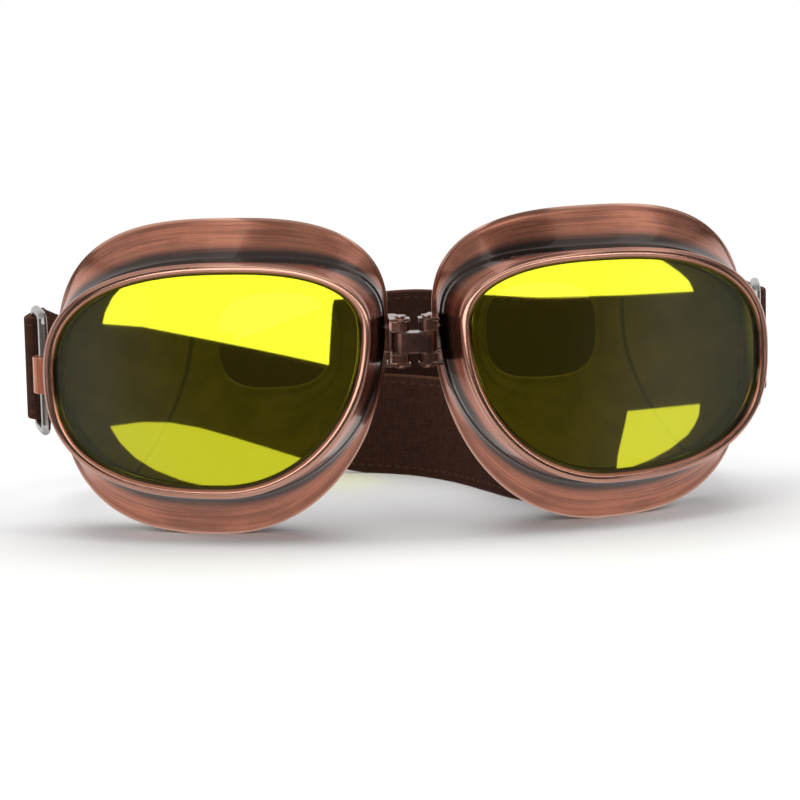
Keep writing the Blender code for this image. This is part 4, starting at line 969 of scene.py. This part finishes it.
def lens_mesh(turns):
    """Bent sheet with its front, back and edge; the faces of the front come first."""
    front = LIP_BACK + FIT_GAP
    edge = [at_rim(turn, -SEAT_INSET - SEAT_GAP, 0.0) for turn in turns]
    middle = ((RIM_NOSE[0] + RIM_TEMPLE[0]) / 2, (RIM_TOP[1] + RIM_BOTTOM[1]) / 2)
    shares = [1.0 - LENS_RING_SHARE * step for step in range(LENS_RINGS)] + [LENS_TIP_SHARE]
    flat = [(middle[0] + (point.x - middle[0]) * share, middle[1] + (point.z - middle[1]) * share)
            for share in shares for point in edge] + [middle]
    points = [Vector((x, lens_bend(x, z) + depth, z))
              for depth in (front, front + LENS_THICKNESS) for x, z in flat]
    count, last, back = len(turns), (len(shares) - 1) * len(turns), len(flat)
    faces = [face for start in range(0, last, count) for face in quads(start, start + count, count)]
    faces += [(last + index, last + (index + 1) % count, back - 1) for index in range(count)]
    fronts = len(faces)
    faces += [tuple(back + corner for corner in reversed(face)) for face in faces]
    faces += [face[::-1] for face in quads(0, back, count)]
    mesh = closed_mesh(points, faces, sharp=LENS_SHARP_ANGLE)
    for face in mesh.polygons[fronts:]:
        face.material_index = 1
    return mesh


# Board, lining and cushion

def board_edge(turn, depth):
    inset = BOARD_INSET + BOARD_TEMPLE_INSET * temple_share(turn)
    seat = CUP_LAND[1] + FIT_GAP + BOARD_TEMPLE_DROP * temple_share(turn)
    return at_wall(turn, -inset, seat + depth)


def board_front(turn, share):
    """Point on the board's front, from its outer edge over the soft roll round the eye hole."""
    rolled = max(0.0, share - HOLE_ROLL_START) / (1.0 - HOLE_ROLL_START)
    puff = BOARD_PUFF * math.sin(math.pi * share) + HOLE_ROLL * math.sin(math.pi * rolled) ** 2
    return board_edge(turn, 0.0).lerp(at_eye(turn, BOARD_THICKNESS, 0.0), share) - Vector((0.0, puff, 0.0))


def board_mesh(turns):
    """Lined board with a soft rolled edge round the eye hole."""
    loft = Loft(turns)
    for step in range(BOARD_STEPS + 1):
        loft.add(board_front, step / BOARD_STEPS)
    half = BOARD_THICKNESS / 2
    for angle in (0.2 * math.pi, 0.5 * math.pi, 0.8 * math.pi):
        loft.add(at_eye, half + half * math.cos(angle), half - half * math.sin(angle))
    loft.add(at_eye, 0.0, BOARD_THICKNESS)
    loft.add(board_edge, BOARD_THICKNESS)
    return loft.mesh()


def pad_height(turn):
    return PAD_HEIGHT * (1.0 - PAD_NOSE_TAPER_SHARE * nose_share(turn))


def pad_side(turn, share):
    """Point up the pad's side, which swells out and then leans in."""
    swell = math.sin(math.pi * min(1.0, share * PAD_SWELL_TURNS)) * PAD_SWELL_SHARE
    out = ((PAD_INSET - PAD_BULGE_INSET) * swell - PAD_INSET - PAD_NOSE_INSET * nose_share(turn) * share
           - (PAD_SHOULDER_INSET - PAD_BULGE_INSET) * max(0.0, share - PAD_LEAN_START)
           - PAD_TURN_IN * PAD_TURN_IN_RISE * max(0.0, share - PAD_TURN_IN_START) ** 2)
    return at_brim(turn, out, PAD_SEAT + pad_height(turn) * share)


def pad_crown(turn, share):
    """Point on the pad's crown, from its shoulder to the eye hole."""
    inset = PAD_SHOULDER_INSET + PAD_NOSE_INSET * nose_share(turn) + PAD_TURN_IN
    shoulder = at_brim(turn, -inset, PAD_SEAT + pad_height(turn))
    eye = at_eye(turn, PAD_EYE_SHOULDER[0] + PAD_EYE_ROUND, BOARD_THICKNESS + PAD_EYE_RISE)
    return shoulder.lerp(eye, share) + Vector((0.0, PAD_CROWN_RISE * math.sin(math.pi * share), 0.0))


def cushion_mesh(turns):
    """Soft pad: flat on the board, drawn in at its foot, crowned, and rolled into the eye hole."""
    loft = Loft(turns, "seam")
    behind = BOARD_THICKNESS + FIT_GAP
    loft.add(at_eye, PAD_EYE_FOOT, behind)
    loft.add(board_edge, behind)
    loft.add(on_flare, FLARE_BACK_SHARES[0], BRIM_SHEET + PAD_GAP)
    loft.add(at_brim, -PAD_INSET, PAD_SEAT, seam=1.0)
    for share in PAD_SIDE_SHARES:
        loft.add(pad_side, share)
    for step in range(PAD_CROWN_STEPS + 1):
        loft.add(pad_crown, step / PAD_CROWN_STEPS, seam=0.9 if step == PAD_SEAM_STEP else 0.0)
    for out, depth in (PAD_EYE_SHOULDER, PAD_EYE_SIDE):
        loft.add(at_eye, out, BOARD_THICKNESS + depth)
    for ring, sewn in list(zip(loft.rings, loft.marks["seam"]))[4:-2]:
        for point in ring:
            point.y += (sum(noise.noise(point * close) * deep for close, deep in PAD_DENTS)
                        - (PAD_SEAM_DEPTH if sewn > 0.5 else 0.0))
    return loft.mesh()


# Strap

def ring_rear():
    """Middle of the rear bar of the right ring, in the model's own drawing."""
    low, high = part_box("right_strap_ring")
    return high[0] - WIRE_RADIUS, high[1] - WIRE_RADIUS - front_to_back()


def strap_foot():
    low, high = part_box("right_strap_ring")
    return (low[2] + high[2]) / 2 - STRAP_WIDTH / 2


def routed(shares):
    rear_x, rear_y = ring_rear()
    deep, tall = STRAP_BACK - rear_y, strap_foot()
    return [(rear_x * x, rear_y + deep * y, tall * z, lean) for x, y, z, lean in shares]


def tail_point(side, along, off):
    """Place beside the rear bar: along runs away from the bar, off is towards the outside."""
    lean = math.atan(TAIL_LEAN_SHARE)
    rear_x, rear_y = ring_rear()
    back, out = (-math.sin(lean), math.cos(lean)), (math.cos(lean), math.sin(lean))
    return (side * (rear_x + along * back[0] + off * out[0]), rear_y + along * back[1] + off * out[1],
            strap_foot(), 0.0)


def layer_step():
    return STRAP_THICKNESS + LAYER_GAP


def at_slider(along, off):
    """Place on the slider: along the strap line from its middle bar, and off that line outwards."""
    rear_x, rear_y = ring_rear()
    x, y = rear_x * SLIDER_X_SHARE, rear_y + (STRAP_BACK - rear_y) * SLIDER_Y_SHARE
    c, s = math.cos(math.tau * SLIDER_TURN_SHARE), math.sin(math.tau * SLIDER_TURN_SHARE)
    return x + along * c - off * s, y + along * s + off * c


def slider_offsets():
    """Distances of the slider's stack from the strap line: middle bar, loop, outer layer."""
    wrap = SLIDER_BAR + FIT_GAP + STRAP_THICKNESS / 2
    bar = wrap - 2 * layer_step()
    return bar, wrap, bar + wrap + layer_step()


def outer_path():
    bulge = slider_offsets()[2]
    half = layer_step() / 2
    over = [at_slider(along, off) + (SLIDER_STRAP_Z, 0.0)
            for along, off in ((-SLIDER_REACH, 0.0), (0.0, bulge), (SLIDER_REACH, 0.0))]
    return ([tail_point(-1, TAIL_LENGTH, half)] + routed(OUTER_LEFT_SHARES) + over
            + routed(OUTER_BACK_SHARES + OUTER_RIGHT_SHARES) + [tail_point(1, TAIL_LENGTH, half)])


def inner_path():
    start = at_slider(LOOP_LENGTH, -2 * layer_step()) + (SLIDER_STRAP_Z - LOOP_DROP, 0.0)
    return ([start] + routed(INNER_BACK_SHARES + INNER_RIGHT_SHARES)
            + [tail_point(1, TAIL_LENGTH, -layer_step() / 2)])


def smooth_path(knots, where):
    """Point of the smooth curve through the knots; whole numbers fall on the knots."""
    index = min(max(int(where), 0), len(knots) - 2)
    part = where - index
    picks = [Vector(knots[max(0, min(len(knots) - 1, index + step))]) for step in (-1, 0, 1, 2)]
    first = (picks[2] - picks[0]) / 2
    second = (picks[3] - picks[1]) / 2
    cube, square = part ** 3, part ** 2
    place = (picks[1] * (2 * cube - 3 * square + 1) + first * (cube - 2 * square + part)
             + picks[2] * (3 * square - 2 * cube) + second * (cube - square))
    return Vector((place[0], place[1], max(0.0, place[2]), place[3]))


def path_stations(knots, start, end):
    """Stations of the curve between two knots with their headings, a strap step apart."""
    shares = [step / PATH_CHECKS for step in range(PATH_CHECKS + 1)]
    rough = [smooth_path(knots, start + (end - start) * share).xy for share in shares]
    steps = max(LEAST_STEPS, round(running(rough)[-1] / sizes().strap_step))
    places = [start + (end - start) * step / steps for step in range(steps + 1)]
    return [(smooth_path(knots, place), (smooth_path(knots, place + NUDGE_SHARE).xy
                                         - smooth_path(knots, place - NUDGE_SHARE).xy).normalized())
            for place in places]


def point_stations(points):
    """Stations through bare points, each headed from its neighbour before to the one after."""
    last = len(points) - 1
    spots = [Vector(point) for point in points]
    return [(spot, (spots[min(index + 1, last)].xy - spots[max(index - 1, 0)].xy).normalized())
            for index, spot in enumerate(spots)]


def band_section():
    """Outline of the webbing as distances off its middle and above its lower edge."""
    half = STRAP_THICKNESS / 2
    side = [(-half, STRAP_WIDTH * share) for share in FACE_SHARES]
    turns = [math.pi * step / EDGE_STEPS for step in range(EDGE_STEPS + 1)]
    side += [(-half * math.cos(turn), half - half * math.sin(turn)) for turn in turns]
    return side + [(-off, STRAP_WIDTH - high) for off, high in side]


def band_mesh(stations, started):
    """Webbing with rounded edges through its stations, closed at both ends; lengths as its UV."""
    section, points = band_section(), []
    for spot, heading in stations:
        normal = Vector((-heading.y, heading.x))
        rise = 1.0 / math.sqrt(1.0 + spot[3] ** 2)
        for off, high in section:
            shift = normal * (off + spot[3] * high * rise)
            points.append(Vector((spot[0] + shift.x, spot[1] + shift.y, spot[2] + high * rise)))
    along = running([spot.xyz for spot, _ in stations], started)
    count, last = len(section), len(points) - len(section)
    faces, lengths = [], []
    for level, (near, far) in enumerate(zip(along, along[1:])):
        faces += quads(level * count, (level + 1) * count, count)
        for (_, first), (_, second) in zip(section, section[1:] + section[:1]):
            lengths += [(near, first), (near, second), (far, second), (far, first)]
    faces += [tuple(reversed(range(count))), tuple(range(last, last + count))]
    lengths += [(along[0], high) for _, high in reversed(section)]
    lengths += [(along[-1], high) for _, high in section]
    return closed_mesh(points, faces, lengths, STRAP_SHARP_ANGLE), along[-1]


def fold_points():
    """Fold of the webbing round the right ring's rear bar."""
    reach, half = WIRE_RADIUS + FIT_GAP + STRAP_THICKNESS / 2, layer_step() / 2
    leg = [(TAIL_LENGTH, half), ((TAIL_LENGTH + TAIL_CLOSE) / 2, half), (TAIL_CLOSE, half),
           (TAIL_CLOSE / 2, (half + reach) / 2)]
    turns = [math.pi + math.pi * step / FOLD_STEPS for step in range(FOLD_STEPS + 1)]
    return [tail_point(1, along, off) for along, off in
            [(along, -off) for along, off in leg]
            + [(reach * math.sin(turn), reach * math.cos(turn)) for turn in turns] + leg[::-1]]


def loop_points():
    """Sewn end of the inner layer, wrapped round the slider's middle bar."""
    bar, wrap, _ = slider_offsets()
    tail, main = -layer_step(), -2 * layer_step()
    turns = [math.pi / 2 + math.pi * step / LOOP_STEPS for step in range(LOOP_STEPS + 1)]
    places = [(LOOP_LENGTH * 0.9, tail), (SLIDER_REACH * 0.6, tail), (SLIDER_REACH * 0.3, bar + wrap * 0.8)]
    places += [(wrap * math.cos(turn), bar + wrap * math.sin(turn)) for turn in turns]
    places += [(LOOP_LEVEL, main), (LOOP_LENGTH, main)]
    fall = LOOP_DROP / (LOOP_LENGTH - LOOP_LEVEL)
    return [at_slider(along, off) + (SLIDER_STRAP_Z - fall * max(0.0, along - LOOP_LEVEL), 0.0)
            for along, off in places]


def add_band(name, stations, bodies, node=None, started=0.0, side=1):
    """A stretch of webbing that rides a body, or runs from one body to the next and rides neither."""
    mesh, ended = band_mesh(stations, started)
    made = new_piece(name, mesh, [elastic_webbing()], side,
                     bodies[0] if len(bodies) == 1 else None, [node] if node else [])
    if len(bodies) == 2:
        near, far = ((spot.x, spot.y + front_to_back(), 0.0) for spot in (stations[0][0], stations[-1][0]))
        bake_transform(made)
        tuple(near)
        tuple(far)
    return ended


def lay_strap(knots, stretches, started=0.0):
    """Makes one layer of the strap, stretch after stretch."""
    start = 0.0
    for name, end, bodies, node in stretches:
        started = add_band(name, path_stations(knots, start, end), bodies, node, started)
        start = end


# Camera and gleams

def camera_axes():
    """Right, up and back of the photograph's camera, as unit vectors."""
    back = Vector((math.sin(CAMERA_SWING) * math.cos(CAMERA_RISE),
                   -math.cos(CAMERA_SWING) * math.cos(CAMERA_RISE), math.sin(CAMERA_RISE)))
    level = Vector((math.cos(CAMERA_SWING), math.sin(CAMERA_SWING), 0.0))
    upright = back.cross(level)
    c, s = math.cos(CAMERA_ROLL), math.sin(CAMERA_ROLL)
    return level * c + upright * s, upright * c - level * s, back


def camera_place():
    return Vector(CAMERA_TARGET) + camera_axes()[2] * CAMERA_DISTANCE


def mirrored_ray(pixel, side):
    """Where the lens, seen at a pixel, sends the camera's look: a point on it and a direction."""
    right, up, back = camera_axes()
    middle = PICTURE_SIZE / 2
    look = (right * (pixel[0] - middle) - up * (pixel[1] - middle) - back * FOCAL_PIXELS).normalized()
    spot, reach = camera_place(), CAMERA_DISTANCE
    for _ in range(LOOK_TRIES):
        place = spot + look * reach
        short = place.y - lens_bend(place.x * side, place.z) - LIP_BACK - FIT_GAP
        reach -= short / look.y * LOOK_SHARE
    place = spot + look * reach
    x = place.x * side - LENS_CENTRE_X
    face = Vector((side * x / math.sqrt(LENS_BEND ** 2 - x * x), -1.0,
                   (place.z - LENS_CENTRE_Z) / LENS_BOWL_RADIUS)).normalized()
    return place, look - face * (2.0 * look.dot(face))


def gleam_card(name, pixels, side, level):
    """Lit card in front of the goggles whose mirror image on the lens has that outline."""
    corners = []
    for first, second in zip(pixels, pixels[1:] + pixels[:1]):
        for step in range(GLEAM_STEPS):
            pixel = [near + (far - near) * step / GLEAM_STEPS for near, far in zip(first, second)]
            place, away = mirrored_ray(pixel, side)
            corners.append(place + away * ((-GLEAM_STAND_OFF - place.y) / away.y))
    stage_card(name, corners, level)


def stage_card(name, corners, level):
    """Flat lit card that only mirrors show."""
    mesh = bpy.data.meshes.new(name)
    mesh.from_pydata(corners, [], [tuple(range(len(corners)))])
    mesh.transform(Matrix.Translation((0.0, front_to_back(), 0.0)))
    mesh.materials.append(finish_with(name, lambda shader: shader.node(
        "Emission", None, {"Color": rgba(WHITE), "Strength": level})))
    card = put(name, mesh)
    card.visible_camera = card.visible_diffuse = card.visible_shadow = False
    card.visible_transmission = card.visible_volume_scatter = False


def ceiling_panel(name, near, far, level, height, ends):
    """Lit panel over the goggles, which only the copper mirrors."""
    stage_card(name, [(near[0], ends[0], height), (near[1], ends[1], height),
                      (far[1], ends[1], height), (far[0], ends[0], height)], level)


def soft_lamp(name, place, target, width, height, watts):
    lamp = bpy.data.lights.new(name, "AREA")
    lamp.shape = "RECTANGLE"
    lamp.size, lamp.size_y = width, height
    lamp.energy = watts
    made = put(name, lamp)
    made.location = place
    made.rotation_euler = (Vector(place) - Vector(target)).to_track_quat("Z", "Y").to_euler()
    made.visible_glossy = False


def lens_glow():
    """Pool of yellow light on the table, as the left lens throws it."""
    pool = bpy.data.lights.new("lens_glow", "SPOT")
    pool.energy = GLOW_WATTS
    pool.color = GLOW_COLOUR
    pool.spot_size = 2 * math.atan(GLOW_RADIUS / GLOW_PLACE[2])
    pool.spot_blend = 1.0
    pool.shadow_soft_size = GLOW_RADIUS / 2
    glow = put("lens_glow", pool)
    glow.location = GLOW_PLACE
    glow.visible_glossy = False


def photo_camera():
    """Camera that sees the goggles as the photograph does."""
    lens = bpy.data.cameras.new("camera")
    lens.sensor_width = SENSOR_WIDTH
    lens.lens = FOCAL_PIXELS * SENSOR_WIDTH / PICTURE_SIZE
    lens.clip_start = CAMERA_DISTANCE / 50
    camera = put("camera", lens)
    slide = Vector((0.0, front_to_back(), 0.0))
    camera.matrix_world = (Matrix.Translation(camera_place() + slide)
                           @ Matrix(camera_axes()).transposed().to_4x4())
    return camera


def studio_world():
    """White behind, a pale table below and a dim room in front, as the metal mirrors them."""
    def build(shader):
        x, y, z = shader.parts(shader.node("TexCoord", None, None, 0))
        table = z.ramp(-0.34, -0.46) * 0.62
        behind = y.ramp(0.30, 0.62) * 0.85
        above = z.ramp(0.22, 0.60) * 0.12
        beside = x.absolute().ramp(0.95, 0.99) * 0.42
        mirrored = 0.022 + table.most(behind).most(above).most(beside)
        camera = shader.node("LightPath", None, None, 0)
        glossy = shader.node("LightPath", None, None, 3)
        level = camera + (1.0 - camera) * (glossy * mirrored + (1.0 - glossy) * 0.28)
        return shader.node("Background", None, {"Color": rgba(WHITE), "Strength": level})

    world = bpy.data.worlds.new("studio")
    world.use_nodes = True
    fill_tree(world.node_tree, "OutputWorld", build)
    bpy.context.scene.world = world


# Operators

class GOGGLES_OT_stage(bpy.types.Operator):
    """Set up the floor, the lamps, the camera and the cards that gleam on the lenses"""
    bl_idname = "goggles.stage"
    bl_label = "Stage"

    def execute(self, context):
        bpy.ops.mesh.primitive_plane_add(size=4 * FLOOR_FADE[1])
        floor = context.object
        floor.name = "floor"
        floor.data.materials.append(paper_floor())
        floor.visible_glossy = False
        studio_world()
        for lamp in LAMPS:
            soft_lamp(*lamp)
        lens_glow()
        for gleam in GLEAMS:
            gleam_card(*gleam)
        for panel in PANELS:
            ceiling_panel(*panel, PANEL_HEIGHT, PANEL_ENDS)
        ceiling_panel(*FRONT_PANEL, PANEL_HEIGHT, FRONT_PANEL_ENDS)
        ceiling_panel(*LOW_PANEL, LOW_PANEL_HEIGHT, LOW_PANEL_ENDS)
        context.scene.camera = photo_camera()
        context.scene.view_settings.view_transform = "Standard"
        return {"FINISHED"}


class GOGGLES_OT_lens_frames(bpy.types.Operator):
    """Make the rolled lens frames with their vents"""
    bl_idname = "goggles.lens_frames"
    bl_label = "Lens frames"

    def execute(self, context):
        for hand, side in HANDS:
            dress(hand, side, "rolled_frame", lens_frame_mesh, [brushed_copper()],
                  "lens_frame", cut_vents)
        return {"FINISHED"}


class GOGGLES_OT_eyecups(bpy.types.Operator):
    """Make the flared eyecups with their rolled brims"""
    bl_idname = "goggles.eyecups"
    bl_label = "Eyecups"

    def execute(self, context):
        for hand, side in HANDS:
            dress(hand, side, "flared_cup", eyecup_mesh, [brushed_copper()], "eyecup")
        return {"FINISHED"}


class GOGGLES_OT_lenses(bpy.types.Operator):
    """Make the bent tinted lenses and finish their seals"""
    bl_idname = "goggles.lenses"
    bl_label = "Lenses"

    def execute(self, context):
        for hand, side in HANDS:
            dress(hand, side, "tinted_lens", lens_mesh, [lens_coat(), lens_back()], "lens")
            refinish(hand + "_lens_gasket", seal_rubber())
        return {"FINISHED"}


class GOGGLES_OT_pads(bpy.types.Operator):
    """Make the lined boards and the soft face pads"""
    bl_idname = "goggles.pads"
    bl_label = "Pads"

    def execute(self, context):
        for hand, side in HANDS:
            dress(hand, side, "lined_board", board_mesh, [leather_lining()], "pad_board")
            pad = dress(hand, side, "soft_pad", cushion_mesh, [pad_leather()], "face_pad")
        return {"FINISHED"}


class GOGGLES_OT_strap(bpy.types.Operator):
    """Make the elastic webbing from ring to ring, with its folds and its sewn loop"""
    bl_idname = "goggles.strap"
    bl_label = "Strap"

    def execute(self, context):
        for hand, side in HANDS:
            add_band(hand + "_fold_webbing", point_stations(fold_points()), (hand + "_ring",),
                     hand + "_strap_fold", 0.0, side)
        lay_strap(outer_path(), OUTER_STRETCHES)
        ended = add_band("sewn_loop_webbing", point_stations(loop_points()), ("slider",), "strap_end_loop")
        lay_strap(inner_path(), INNER_STRETCHES, ended)
        return {"FINISHED"}


class GOGGLES_OT_fittings(bpy.types.Operator):
    """Finish the hinge, the brackets, the rivets, the clips, the rings and the slider"""
    bl_idname = "goggles.fittings"
    bl_label = "Fittings"

    def execute(self, context):
        dark = aged_copper("hinge_copper", (160.0, 160.0, 1800.0), 0.80, 0.90)
        brown = aged_copper("bracket_copper", (160.0, 160.0, 1800.0), 0.72, 0.85)
        bright = aged_copper("clip_copper", (1800.0, 1800.0, 160.0), -0.10, 0.30)
        refinish("nose_link", dark)
        refinish("strap_slider", brown)
        for hand, _ in HANDS:
            refinish(hand + "_hinge_pin", dark)
            for name in ("hinge_bracket", "lower_rivet", "upper_rivet"):
                refinish(f"{hand}_{name}", brown)
            for name in ("strap_clip", "clip_backplate", "clip_rivet"):
                refinish(f"{hand}_{name}", bright)
            refinish(hand + "_strap_ring", ring_steel())
        return {"FINISHED"}


class GOGGLES_PT_pieces(bpy.types.Panel):
    bl_label = "Pilot goggles"
    bl_idname = "GOGGLES_PT_pieces"
    bl_space_type = "VIEW_3D"
    bl_region_type = "UI"
    bl_category = "Goggles"

    def draw(self, context):
        for maker in MAKERS:
            self.layout.operator(maker.bl_idname)
        for group in (context.scene.goggle_sizes, context.scene.goggle_colours):
            for name in group.__annotations__:
                self.layout.prop(group, name)


MAKERS = (GOGGLES_OT_stage, GOGGLES_OT_lens_frames, GOGGLES_OT_eyecups, GOGGLES_OT_lenses, GOGGLES_OT_pads,
          GOGGLES_OT_strap, GOGGLES_OT_fittings)
CLASSES = (GoggleSizes, GoggleColours) + MAKERS + (GOGGLES_PT_pieces,)


def register():
    for kind in CLASSES:
        bpy.utils.register_class(kind)
    bpy.types.Scene.goggle_sizes = PointerProperty(type=GoggleSizes)
    bpy.types.Scene.goggle_colours = PointerProperty(type=GoggleColours)


def unregister():
    del bpy.types.Scene.goggle_colours
    del bpy.types.Scene.goggle_sizes
    for kind in reversed(CLASSES):
        bpy.utils.unregister_class(kind)


def main():
    register()
    bpy.ops.goggles.stage()
    bpy.ops.goggles.lens_frames()
    bpy.ops.goggles.eyecups()
    bpy.ops.goggles.lenses()
    bpy.ops.goggles.pads()
    bpy.ops.goggles.strap()
    bpy.ops.goggles.fittings()


if __name__ == "__main__":
    main()
